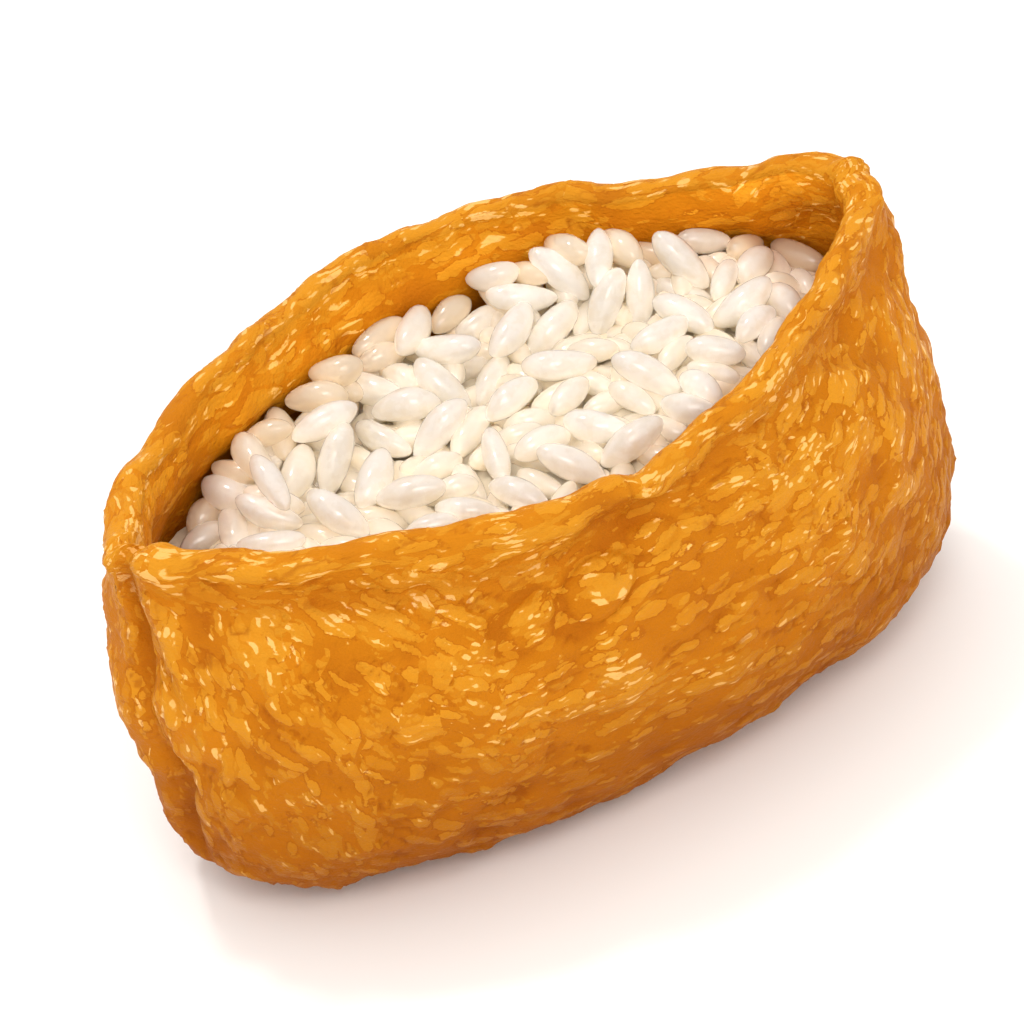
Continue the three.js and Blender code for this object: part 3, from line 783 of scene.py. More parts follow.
    # painted light: the inner face at the right back lighter still, against the shade of that corner
    c = T.mixcol(attr("corner"), c, T.mixcol(1.0, c, (1.30, 1.34, 1.55, 1), "MULTIPLY"))
    nt.links.new(c, b.inputs["Base Color"])
    rough = T.mix(s1, 0.62, 0.48)
    rough = T.math("ADD", rough, T.math("MULTIPLY", T.math("SUBTRACT", fine, 0.5), 0.4))
    nt.links.new(rough, b.inputs["Roughness"])
    b.inputs["Specular IOR Level"].default_value = 0.09
    b.inputs["Specular Tint"].default_value = (1.0, 0.80, 0.50, 1)
    wet = T.math("MULTIPLY", T.ramp(e3, 0.0, 0.14), T.ramp(hh, 0.1, 0.6, 0.05, 0.42))
    nt.links.new(wet, b.inputs["Coat Weight"])
    b.inputs["Coat Roughness"].default_value = 0.16
    b.inputs["Coat IOR"].default_value = 1.38
    h = T.math("MULTIPLY", fine, 0.22)
    bump = nt.nodes.new("ShaderNodeBump")
    bump.inputs["Strength"].default_value = 0.7
    bump.inputs["Distance"].default_value = MM
    nt.links.new(h, bump.inputs["Height"])
    nt.links.new(bump.outputs["Normal"], b.inputs["Normal"])
    return mat


skin.data.materials.clear()
skin.data.materials.append(skin_material())
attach(skin, "root")
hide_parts("tofu_pouch")


# =====================================================================
#  the rice: loose grains two to three deep over a smaller core
# =====================================================================
co = np.empty(len(skin.data.vertices) * 3, np.float32)
skin.data.vertices.foreach_get("co", co)
skin_at = co.reshape(-1, 3)[:R * N].reshape(R, N, 3).astype(float) / MM - SHIFT
wall = skin_at[ROWS_FOOT + ROWS_OUT + ROWS_LIP - 1:-2][::-1]          # inner face of the sheet, from its floor up to the lip
wall_step = wall[:, ::4]


def heap_top(x, y):
    """Height of the rice heap."""
    return (HEAP_LEVEL + HEAP_TILT * x + HEAP_CROWN * bell(x - 14, 12)
            - HEAP_END_DROP * (smooth((-26 - x) / 12) + smooth((x - 24) / 14)) - 1.1 * (y / 15) ** 2 - 0.09 * np.maximum(0, -y))


class Walls:
    """Signed distance to the inner face of the pouch, kept on a coarse grid: positive inside."""

    def __init__(self):
        self.z0, self.dz, self.nz = 22.0, 1.5, 15
        self.x0, self.dx = -44.0, 0.8
        self.y0 = -24.0
        self.nx, self.ny = 111, 61
        gx = self.x0 + self.dx * np.arange(self.nx)
        gy = self.y0 + self.dx * np.arange(self.ny)
        GX, GY = np.meshgrid(gx, gy, indexing="ij")
        g = np.zeros((self.nx, self.ny, self.nz))
        for k in range(self.nz):
            z = self.z0 + self.dz * k
            poly = np.array([[np.interp(z, c[:, 2], c[:, 0]), np.interp(z, c[:, 2], c[:, 1])] for c in wall_step.transpose(1, 0, 2)])
            a, b = poly, np.roll(poly, -1, 0)
            e = b - a
            px, py = GX[..., None] - a[:, 0], GY[..., None] - a[:, 1]
            s = np.clip((px * e[:, 0] + py * e[:, 1]) / (e ** 2).sum(1), 0, 1)
            d = np.sqrt((px - s * e[:, 0]) ** 2 + (py - s * e[:, 1]) ** 2).min(-1)
            cond = (a[:, 1] > GY[..., None]) != (b[:, 1] > GY[..., None])
            xi = a[:, 0] + (GY[..., None] - a[:, 1]) * e[:, 0] / np.where(np.abs(e[:, 1]) < 1e-9, 1e-9, e[:, 1])
            inside = (cond & (GX[..., None] < xi)).sum(-1) % 2 == 1
            g[:, :, k] = np.where(inside, d, -d)
        self.g = g

    def at(self, p):
        u = np.clip((p[:, 0] - self.x0) / self.dx, 0, self.nx - 1.001)
        v = np.clip((p[:, 1] - self.y0) / self.dx, 0, self.ny - 1.001)
        w = np.clip((p[:, 2] - self.z0) / self.dz, 0, self.nz - 1.001)
        i, j, k = u.astype(int), v.astype(int), w.astype(int)
        u, v, w = u - i, v - j, w - k
        g = self.g
        c = ((g[i, j, k] * (1 - u) + g[i + 1, j, k] * u) * (1 - v) + (g[i, j + 1, k] * (1 - u) + g[i + 1, j + 1, k] * u) * v) * (1 - w)
        return c + ((g[i, j, k + 1] * (1 - u) + g[i + 1, j, k + 1] * u) * (1 - v) + (g[i, j + 1, k + 1] * (1 - u) + g[i + 1, j + 1, k + 1] * u) * v) * w

    def away(self, p):
        e = 0.6
        gx = self.at(p + [e, 0, 0]) - self.at(p - [e, 0, 0])
        gy = self.at(p + [0, e, 0]) - self.at(p - [0, e, 0])
        n = np.stack([gx, gy, np.zeros(len(p))], 1)
        return n / np.maximum(np.linalg.norm(n, axis=1, keepdims=True), 1e-6)


walls = Walls()
DEPTH = 4.8            # of the loose grains
LEFT_CLEAR = -31.3     # along the picture plane, where the heap ends at the left
GRAINS = 820
LOOSE = 370            # scattered first; the others fill the gaps that are left


# grains on top of the heap: place x, y, z in mm, heading and pitch in degrees, length, width, and level (1 uppermost)
TOP_GRAINS = np.array([
    (-25.0, 9.1, 30.7, 13, 5, 4.9, 3.0, 2), (-27.0, 6.6, 30.7, -11, 15, 4.9, 2.6, 2), (-24.9, 5.2, 31.0, 68, 3, 5.8, 3.0, 2), (-22.1, 3.5, 32.6, 123, 16, 6.3, 2.6, 1),
    (-24.2, -0.2, 32.5, -34, 1, 5.9, 2.3, 1), (-22.4, 9.6, 31.6, 105, 1, 6.3, 3.0, 1.5), (-19.6, 6.9, 32.6, 83, 16, 6.3, 2.4, 1), (-17.7, 13.2, 30.8, 81, 7, 6.3, 3.0, 2),
    (-19.5, 13.3, 30.4, -59, 6, 4.9, 2.4, 3), (-14.4, 14.1, 31.3, 69, 11, 6.3, 3.0, 2), (-15.9, 13.6, 32.3, -22, 7, 4.9, 2.3, 3), (-11.6, 11.1, 32.8, -12, 11, 6.3, 2.8, 1),
    (-16.5, 8.3, 31.4, 44, 11, 6.3, 3.0, 2), (-14.0, 5.7, 33.0, 25, 49, 6.7, 3.0, 1), (-18.0, -1.0, 32.8, 122, 34, 6.4, 3.0, 1), (-13.4, 0.5, 33.3, 35, 18, 6.3, 3.0, 1),
    (-11.9, -3.0, 33.0, -24, 1, 6.1, 3.0, 1), (-19.3, 1.6, 30.6, -20, 5, 4.9, 2.2, 3), (-12.8, -7.5, 32.3, -24, 0, 4.9, 2.3, 1), (-9.4, -7.8, 32.5, 135, 5, 5.8, 2.3, 1),
    (-3.4, 14.7, 35.9, 6, 7, 5.8, 2.9, 2.5), (-8.4, 13.8, 35.3, -34, 7, 4.9, 2.9, 3), (-10.5, 14.1, 33.3, -43, 7, 5.8, 2.9, 2.5), (0.3, 15.3, 34.5, 37, 7, 6.3, 3.0, 1.5),
    (4.0, 14.9, 34.8, 14, 8, 4.9, 2.7, 2), (5.7, 13.3, 33.8, 2, 9, 4.9, 2.7, 1.5), (-2.9, 15.7, 33.0, -21, 9, 4.9, 2.5, 2), (1.5, 11.8, 33.9, -49, 7, 6.3, 2.8, 1),
    (-5.6, 12.6, 32.5, 111, 3, 6.3, 3.0, 1.5), (-2.7, 12.9, 32.0, -85, 4, 4.9, 2.9, 2), (-5.6, 7.5, 33.5, -37, 6, 6.2, 3.0, 1), (-1.9, 7.4, 33.9, 115, 39, 6.4, 3.0, 1),
    (1.6, 8.9, 32.9, -8, 9, 4.9, 2.2, 2), (6.5, 9.0, 34.8, 19, 21, 6.3, 3.0, 1), (1.8, 5.1, 34.0, 34, 10, 6.3, 2.6, 1.5), (1.0, 0.8, 34.5, 7, 9, 5.9, 2.8, 1),
    (-5.6, 2.2, 33.8, -1, 33, 6.7, 3.0, 1), (-9.3, 5.5, 32.9, 105, 6, 6.3, 2.6, 1.5), (-3.2, 1.2, 32.7, 28, 9, 6.3, 2.7, 2), (-4.0, -4.2, 33.5, 67, 15, 6.3, 2.4, 1),
    (-7.9, -0.6, 32.3, -10, 5, 4.9, 2.4, 2), (8.2, 13.9, 37.4, -36, 9, 4.9, 2.7, 1.5), (11.6, 13.7, 36.1, -67, 6, 4.9, 2.2, 3), (10.0, 12.6, 34.9, 145, 9, 6.4, 2.7, 1),
    (14.2, 12.9, 35.2, 118, 37, 6.7, 3.0, 1), (15.3, 12.5, 37.5, -77, 4, 5.7, 2.9, 2), (17.7, 12.0, 35.5, 53, 21, 6.3, 2.6, 1), (19.6, 11.0, 36.4, -92, 2, 6.3, 3.0, 2),
    (14.2, 5.2, 36.0, 23, 48, 6.5, 3.0, 1), (16.9, 4.1, 36.1, 48, 54, 6.4, 2.6, 1), (22.3, 11.2, 34.3, -72, 3, 4.9, 2.2, 3), (9.3, 6.7, 34.9, 5, 25, 6.3, 3.0, 1.5),
    (12.6, 6.6, 34.4, 40, 5, 4.9, 2.2, 2), (6.4, 1.3, 35.2, 148, 4, 6.6, 2.9, 1), (10.3, 2.1, 34.4, -44, 4, 4.9, 2.3, 2), (8.0, -1.6, 34.0, 108, 7, 4.9, 2.2, 2),
    (11.1, -5.2, 35.2, 128, 29, 6.7, 3.0, 1), (14.8, -1.9, 35.9, -3, 5, 5.8, 2.8, 1), (15.1, -3.4, 34.4, 18, 9, 4.9, 2.2, 2), (4.9, -2.1, 34.3, 12, 12, 4.9, 2.5, 1.5),
    (7.3, -4.5, 33.6, -17, 6, 4.9, 2.5, 2), (8.8, -6.2, 34.3, 105, 10, 4.9, 2.4, 1.5), (4.3, -7.1, 34.1, 128, 4, 5.8, 2.9, 1), (5.6, -10.4, 33.6, -11, 23, 6.5, 3.0, 1),
    (1.3, -1.5, 33.1, -29, 3, 4.9, 2.3, 2), (0.0, -5.1, 33.3, -11, 6, 5.4, 2.8, 1.5), (-0.6, -2.0, 32.8, -18, 5, 4.9, 2.2, 2), (0.3, -9.1, 33.2, 131, 25, 6.3, 2.9, 1),
    (-1.3, -5.0, 32.4, 112, 8, 4.9, 2.4, 2), (-5.0, -9.1, 32.6, 113, 10, 5.9, 2.7, 1), (-6.8, -3.9, 32.0, 86, 12, 4.9, 2.2, 2), (-8.5, -3.7, 31.9, -13, 4, 4.9, 2.4, 2),
    (-2.2, -8.0, 31.8, 112, 10, 4.9, 2.2, 2), (11.5, -10.6, 34.3, 131, 6, 4.9, 2.7, 1), (9.5, -10.3, 32.9, 116, 10, 4.9, 2.3, 2), (22.6, 6.0, 36.1, 113, 41, 6.7, 3.0, 1),
    (26.6, 8.2, 35.4, 150, 12, 5.0, 2.5, 1.5), (30.1, 7.2, 33.4, -154, 22, 5.2, 2.7, 2), (23.9, 1.3, 35.8, 40, 3, 5.6, 2.3, 1.5), (27.9, 2.4, 34.9, -148, 8, 6.3, 3.0, 1.5),
    (30.4, 2.6, 33.0, 68, 2, 6.3, 2.4, 2), (34.2, 5.3, 31.5, 109, 6, 5.8, 2.8, 2), (30.9, -0.4, 32.8, 73, 0, 4.9, 2.2, 2), (22.8, -3.0, 36.0, -10, 25, 6.4, 3.0, 1),
    (22.0, -5.9, 35.6, 14, 6, 5.0, 2.5, 1), (26.1, -4.5, 35.1, 86, 10, 5.1, 3.0, 1.5), (22.9, -6.9, 34.1, 34, 10, 4.9, 2.5, 2), (20.1, 1.8, 35.8, 115, 8, 6.3, 2.6, 1.5),
    (18.0, -1.1, 36.1, 109, 12, 6.3, 2.9, 1), (17.2, -6.7, 35.4, 134, 6, 5.3, 2.8, 1), (15.9, -8.2, 34.6, 124, 9, 4.9, 2.2, 1.5), (13.6, -9.6, 34.7, 100, 13, 4.9, 2.7, 1),
    (20.5, -7.5, 34.0, 100, 13, 4.9, 2.3, 2), (16.2, -8.6, 32.9, -11, 2, 4.9, 2.2, 3), (35.5, 4.7, 30.4, 126, 7, 4.9, 2.2, 3), (-12.0, -3.7, 31.2, 112, 8, 4.9, 2.3, 2.5),
    (-13.9, 3.0, 31.5, 92, 2, 4.9, 2.3, 2.5), (12.0, 0.4, 34.2, 107, 2, 4.9, 2.3, 2.5), (14.1, -3.2, 34.0, 75, 12, 4.9, 2.2, 2.5), (24.7, 4.6, 34.5, 77, 0, 5.4, 2.3, 2.5),
])


def settle(c, d, L, W, held, rounds):
    """Lets the grains sink and push each other apart. Each is three balls on a rod. The held ones keep their place as
    seen from the camera and only slide nearer to it or further away."""
    r1 = 0.31 * W
    o = (L / 2 - r1 * 1.08)[:, None]
    a, b = c + d * o, c - d * o
    a0, b0 = a.copy(), b.copy()
    r = np.stack([r1, 0.405 * W, r1], 1)
    share = np.array([[1.0, 0.0], [0.5, 0.5], [0.0, 1.0]])
    for it in range(rounds):
        if it % 8 == 0:
            m = (a + b) / 2
            D = ((m[:, None] - m[None]) ** 2).sum(-1)
            I, J = np.nonzero(np.triu(D < 49.0, 1))
            II = np.repeat(I, 9)
            JJ = np.repeat(J, 9)
            ki = np.tile(np.repeat(np.arange(3), 3), len(I))
            kj = np.tile(np.tile(np.arange(3), 3), len(I))
            rs = r[II, ki] + r[JJ, kj]
        sink = (0.10 * (1 - it / rounds) + 0.01) * np.where(held, 0.0, 1.0)
        a[:, 2] -= sink
        b[:, 2] -= sink
        for e, e0 in ((a, a0), (b, b0)):
            v = e0[held] - e[held]
            far = v @ cam_back
            e[held] += (v - far[:, None] * cam_back) * 0.7 + np.clip(far, -0.06, 0.06)[:, None] * cam_back * 0.5
        S = np.stack([a, (a + b) / 2, b], 1)
        v = S[II, ki] - S[JJ, kj]
        dist = np.maximum(np.linalg.norm(v, axis=1), 1e-6)
        hit = dist < rs
        v, dd = v[hit] / dist[hit, None], (rs[hit] - dist[hit])[:, None]
        i, j, p, q = II[hit], JJ[hit], ki[hit], kj[hit]
        mv = v * dd * 0.28
        A, B = np.zeros_like(a), np.zeros_like(b)
        np.add.at(A, i, mv * share[p, 0][:, None])
        np.add.at(B, i, mv * share[p, 1][:, None])
        np.add.at(A, j, -mv * share[q, 0][:, None])
        np.add.at(B, j, -mv * share[q, 1][:, None])
        a += A
        b += B
        for k in (0, 2):
            P_ = a if k == 0 else b
            gap = walls.at(P_) - r[:, k] - 0.15
            w_ = gap < 0
            if w_.any():
                P_[w_] += walls.away(P_[w_]) * (-gap[w_])[:, None]
            fl_ = heap_top(P_[:, 0], P_[:, 1]) - DEPTH + r[:, k] - P_[:, 2]
            P_[:, 2] += np.maximum(fl_, 0)
        m = (a + b) / 2
        u = a - b
        u /= np.maximum(np.linalg.norm(u, axis=1, keepdims=True), 1e-6)
        a, b = m + u * o, m - u * o
    return (a + b) / 2, u


def heading(az, el):
    return np.stack([np.cos(az) * np.cos(el), np.sin(az) * np.cos(el), np.sin(el)], -1)


def near_side(c, d, L, W, u, v):
    """How near to the camera a grain comes at the places u, v of the picture plane, or -inf beside it."""
    axes = np.stack([cam_right, cam_up, cam_back])
    q, e = axes @ c, axes @ d
    w = np.stack([u - q[0], v - q[1], np.zeros_like(u)], 1)
    Q = np.eye(3) * 4 / W ** 2 + np.outer(e, e) * (4 / L ** 2 - 4 / W ** 2)
    A, B, C = Q[2, 2], w @ Q[2], np.einsum("ij,jk,ik->i", w, Q, w) - 1
    D = B * B - A * C
    return np.where(D > 0, q[2] + (-B + np.sqrt(np.maximum(D, 0))) / A, -np.inf)


def order_top(top):
    """Slides the top grains along the view line until those of a higher level lie over those of a lower one."""
    c = top[:, :3].copy()
    d = heading(rad(top[:, 3]), rad(top[:, 4]))
    L, W, level = top[:, 5], top[:, 6], top[:, 7]
    axes = np.stack([cam_right, cam_up, cam_back])
    q = c @ axes.T
    pairs = []
    for i in range(len(c)):
        for j in range(i + 1, len(c)):
            if np.hypot(*(q[i, :2] - q[j, :2])) > (L[i] + L[j]) / 2:
                continue
            u, v = np.meshgrid(np.arange(-3.4, 3.5, 0.4) + q[i, 0], np.arange(-3.4, 3.5, 0.4) + q[i, 1])
            u, v = u.ravel(), v.ravel()
            both = np.isfinite(near_side(c[i], d[i], L[i], W[i], u, v)) & np.isfinite(near_side(c[j], d[j], L[j], W[j], u, v))
            if both.sum() < 3:
                continue
            over = (i, j) if (level[i], -q[i, 2]) < (level[j], -q[j, 2]) else (j, i)
            pairs.append((*over, u[both], v[both]))
    top_s = np.empty(len(c))
    for it in range(40):
        for i, j, u, v in pairs:
            need = np.percentile(near_side(c[j], d[j], L[j], W[j], u, v) - near_side(c[i], d[i], L[i], W[i], u, v), 80) + 0.15
            if need > 0:
                high = c[i, 2] - heap_top(c[i, 0], c[i, 1])
                share = 0.5 if high < 0.4 else 0.15
                c[i] += cam_back * need * share * 0.6
                c[j] -= cam_back * need * (1 - share) * 0.6
        for e in (-1, 1):
            end = c + e * d * (L / 2 - 0.35 * W)[:, None]
            gap = walls.at(end) - 0.35 * W - 0.2
            toward = walls.away(end) @ cam_back
            bad = (gap < 0) & (toward > 0.2)
            c[bad] += cam_back * (-gap[bad] / toward[bad])[:, None]
    return c, d


def scatter():
    """The top grains in their places, and others at random under and around them."""
    top = TOP_GRAINS
    c, d = order_top(top)
    top = np.concatenate([c, top[:, 3:]], 1)
    c, d = list(c), list(d)
    lo_, hi_ = np.array([-38, -19]), np.array([38, 19])
    while len(c) < LOOSE:
        x, y = rng.uniform(lo_, hi_)
        z = heap_top(x, y)
        if walls.at(np.array([[x, y, z]]))[0] < 1.5:
            continue
        near = np.hypot(top[:, 0] - x, top[:, 1] - y)
        cap = z - 0.9
        if near.min() < 2.8:
            cap = top[near < 2.8, 2].min() - 1.7
        z = rng.uniform(z - DEPTH + 1.3, max(cap, z - DEPTH + 1.5))
        c.append(np.array([x, y, z]))
        d.append((heading(rng.uniform(0, 2 * np.pi), rng.normal(0, rad(22)))))
    return np.array(c, float), np.array(d, float)


class Gaps:
    """Depth of the heap as seen from one side, on a grid of 0.35 mm cells, to find and fill the gaps between grains."""
    STEP = 0.35

    def __init__(self, toward, held=None):
        toward = toward / np.linalg.norm(toward)
        right = np.array([-toward[1], toward[0], 0.0]) if abs(toward[2]) < 0.9 else np.array([1.0, 0, 0])
        right = right / np.linalg.norm(right)
        self.axes = np.stack([right, np.cross(toward, right), toward])
        x, y = np.meshgrid(np.arange(-38, 38, 0.15), np.arange(-19, 19, 0.15), indexing="ij")
        z = heap_top(x, y)
        if held is not None:            # the heap reaches up to the grains that lie on it
            for g in held:
                z = np.where(np.hypot(x - g[0], y - g[1]) < 2.3, np.maximum(z, g[2] + 0.2), z)
        p = np.stack([x.ravel(), y.ravel(), z.ravel()], 1)
        p = p[walls.at(p) > 1.4]
        q = p @ self.axes.T
        self.lo = q[:, :2].min(0) - 2
        n = np.ceil((q[:, :2].max(0) + 2 - self.lo) / self.STEP).astype(int) + 1
        self.want = np.full(n, -1e9)
        ij = ((q[:, :2] - self.lo) / self.STEP).astype(int)
        np.maximum.at(self.want, (ij[:, 0], ij[:, 1]), q[:, 2])
        self.heap = self.want.copy()
        self.have = np.full(n, -1e9)
        self.fixed = np.full(n, -1e9)
        self.n = n

    def cover(self, c, d, L, W):
        """Cells that a grain covers, and how near to the camera it comes in each."""
        q = self.axes @ c
        i0, j0 = ((q[:2] - self.lo - L / 2) / self.STEP).astype(int)
        i1, j1 = ((q[:2] - self.lo + L / 2) / self.STEP).astype(int) + 2
        i, j = np.meshgrid(np.arange(max(i0, 0), min(i1, self.n[0])), np.arange(max(j0, 0), min(j1, self.n[1])), indexing="ij")
        i, j = i.ravel(), j.ravel()
        w = np.stack([self.lo[0] + (i + 0.5) * self.STEP - q[0], self.lo[1] + (j + 0.5) * self.STEP - q[1], np.zeros(len(i))], 1)
        e = self.axes @ d
        Q = np.eye(3) * 4 / W ** 2 + np.outer(e, e) * (4 / L ** 2 - 4 / W ** 2)
        A, B, C = Q[2, 2], w @ Q[2], np.einsum("ij,jk,ik->i", w, Q, w) - 1
        D = B * B - A * C
        on = D > 0
        return i[on], j[on], q[2] + (-B[on] + np.sqrt(D[on])) / A

    def add(self, c, d, L, W, fixed):
        i, j, s = self.cover(c, d, L, W)
        np.maximum.at(self.have, (i, j), s)
        if fixed:
            np.maximum.at(self.fixed, (i, j), s)

    def fill(self, grids, c, d, L, W, count):
        """Adds grains one by one, each in the deepest gap, the way round that shows least in front of the top grains
        in the first of the grids."""
        main = grids[0]
        had, k = len(c), 0
        for _ in range(3 * count):
            k = len(c) - had
            if k == count:
                break
            gap = np.where(self.want > -1e8, self.want - 1.5 - self.have, -1e9)
            gap[self.have < -1e8] = np.where(self.want[self.have < -1e8] > -1e8, 8.0, -1e9)
            m = int(np.argmax(gap))
            i, j = np.unravel_index(m, gap.shape)
            if gap[i, j] < 0.35:
                return k
            best = None
            for _ in range(22):
                l_, w_ = rng.normal(5.6, 0.3), rng.normal(2.5, 0.1)
                e = heading(rng.uniform(0, 2 * np.pi), rng.normal(0, rad(20)))
                off = rng.uniform(-0.3, 0.3) * l_
                at = self.axes.T @ np.array([self.lo[0] + (i + 0.5) * self.STEP, self.lo[1] + (j + 0.5) * self.STEP, self.want[i, j] - 1.2 - w_ / 2])
                at = at + e * off
                if min(walls.at(np.stack([at + e * (l_ / 2 - 1), at - e * (l_ / 2 - 1)]))) < 1.2:
                    continue
                a_, b_, s_ = self.cover(at, e, l_, w_)
                good = (s_ > self.have[a_, b_] + 0.6).sum()
                high = (s_ > self.want[a_, b_] - 0.5).sum()
                a_, b_, s_ = main.cover(at, e, l_, w_)
                inside_ = (a_ < main.n[0]) & (b_ < main.n[1])
                a_, b_, s_ = a_[inside_], b_[inside_], s_[inside_]
                bad = ((s_ > main.fixed[a_, b_] - 0.2) & (main.fixed[a_, b_] > -1e8)).sum()
                if self is not main:
                    bad += ((s_ > main.heap[a_, b_] - 0.5) & (s_ > main.have[a_, b_] - 0.1)).sum()
                score = good - 3 * bad - 1.5 * high
                if best is None or score > best[0]:
                    best = (score, at, e, l_, w_)
            if best is None or best[0] < 4:
                self.want[i, j] = -1e9
                continue
            _, at, e, l_, w_ = best
            for g in grids:
                g.add(at, e, l_, w_, False)
            a_, b_ = max(i - 1, 0), max(j - 1, 0)
            self.want[a_:i + 2, b_:j + 2] = np.minimum(self.want[a_:i + 2, b_:j + 2], self.have[a_:i + 2, b_:j + 2] + 1.5)
            c.append(at)
            d.append(e)
            L.append(l_)
            W.append(w_)
        return k


g_c, g_d = scatter()
g_L = rng.normal(5.7, 0.30, LOOSE).clip(5.0, 6.4)
g_W = rng.normal(2.55, 0.12, LOOSE).clip(2.3, 2.85)
g_L[:len(TOP_GRAINS)] = TOP_GRAINS[:, 5]
g_W[:len(TOP_GRAINS)] = TOP_GRAINS[:, 6]
g_c, g_d = settle(g_c, g_d, g_L, g_W, np.arange(LOOSE) < len(TOP_GRAINS), 160)
# grains under those that lie high on the heap
below = []
for k in range(len(TOP_GRAINS)):
    p, e = g_c[k].copy(), g_d[k]
    while p[2] - 1.9 > heap_top(p[0], p[1]) - 2.2:
        p = p - [0, 0, 1.9]
        az = math.atan2(e[1], e[0]) + rng.choice([-1, 1]) * rng.uniform(0.7, 1.2)
        e = heading(az, rng.normal(0, 0.12))
        for _ in range(6):
            ends = np.stack([p + e * 1.7, p - e * 1.7])
            gap = walls.at(ends) - 1.3
            if gap.min() >= 0:
                break
            m = int(gap.argmin())
            p = p + walls.away(ends)[m] * -gap[m]
        below.append((p, e))
g_c = np.concatenate([g_c, [p for p, _ in below]])
g_d = np.concatenate([g_d, [e for _, e in below]])
g_L = np.concatenate([g_L, rng.normal(5.5, 0.25, len(below))])
g_W = np.concatenate([g_W, rng.normal(2.5, 0.1, len(below))])
LOOSE = len(g_c)
print("below", len(below))
held = g_c[:len(TOP_GRAINS)]
grids = [Gaps(cam_back), Gaps(np.array([0.0, 0.0, 1.0]), held), Gaps(cam_back * [-1.0, -1.0, 1.0], held)]
for g in grids:
    for k in range(LOOSE):
        g.add(g_c[k], g_d[k], g_L[k], g_W[k], k < len(TOP_GRAINS))
g_c, g_d, g_L, g_W = list(g_c), list(g_d), list(g_L), list(g_W)
for g, share in zip(grids, (0.50, 0.26, 0.24)):
    print("filled", g.fill(grids, g_c, g_d, g_L, g_W, int((GRAINS - LOOSE) * share)))
g_c, g_d, g_L, g_W = (np.array(v) for v in (g_c, g_d, g_L, g_W))
# the left end of the heap stays clear of the corner of the pouch
reach = np.sqrt(g_W ** 2 + (g_L ** 2 - g_W ** 2) * (g_d @ cam_right) ** 2) / 2
clear = (g_c @ cam_right - reach > LEFT_CLEAR) | (np.arange(len(g_c)) < len(TOP_GRAINS)) | (g_c[:, 2] < 26.5)
g_c, g_d, g_L, g_W = g_c[clear], g_d[clear], g_L[clear], g_W[clear]
GRAINS = len(g_c)


def grain_template(seg, rings):
    """A cooked short grain: plump, a little flattened and bent, blunt at the germ end. Unit length and width."""
    s = -np.cos(np.linspace(0, np.pi, rings + 1))
    a = 2 * np.pi * np.arange(seg) / seg
    v, al = [], []
    for k in range(1, rings):
        w = (1 - abs(s[k]) ** 1.95) ** 0.54 * (1 + 0.08 * s[k])
        y = 0.5 * w * np.cos(a)
        z = 0.5 * w * 0.93 * np.sin(a) * (1 - 0.05 * np.cos(2 * a))
        v.append(np.stack([np.full(seg, 0.5 * s[k]), y + 0.10 * (1 - s[k] ** 2) - 0.05, z], 1))
        al.append(np.full(seg, s[k]))
    v = np.concatenate([np.array([[-0.5, -0.05, 0]])] + v + [np.array([[0.5, -0.05, 0]])])
    f = []
    i = np.arange(seg)
    j = (i + 1) % seg
    tri = [np.stack([np.zeros(seg, int), 1 + j, 1 + i], 1)]
    quads = []
    for k in range(rings - 2):
        b0 = 1 + k * seg
        quads.append(np.stack([b0 + i, b0 + j, b0 + seg + j, b0 + seg + i], 1))
    last = 1 + (rings - 1) * seg
    b0 = 1 + (rings - 2) * seg
    tri.append(np.stack([b0 + i, b0 + j, np.full(seg, last)], 1))
    return v, np.concatenate(quads), np.concatenate(tri), np.concatenate([[-1.0]] + al + [[1.0]])


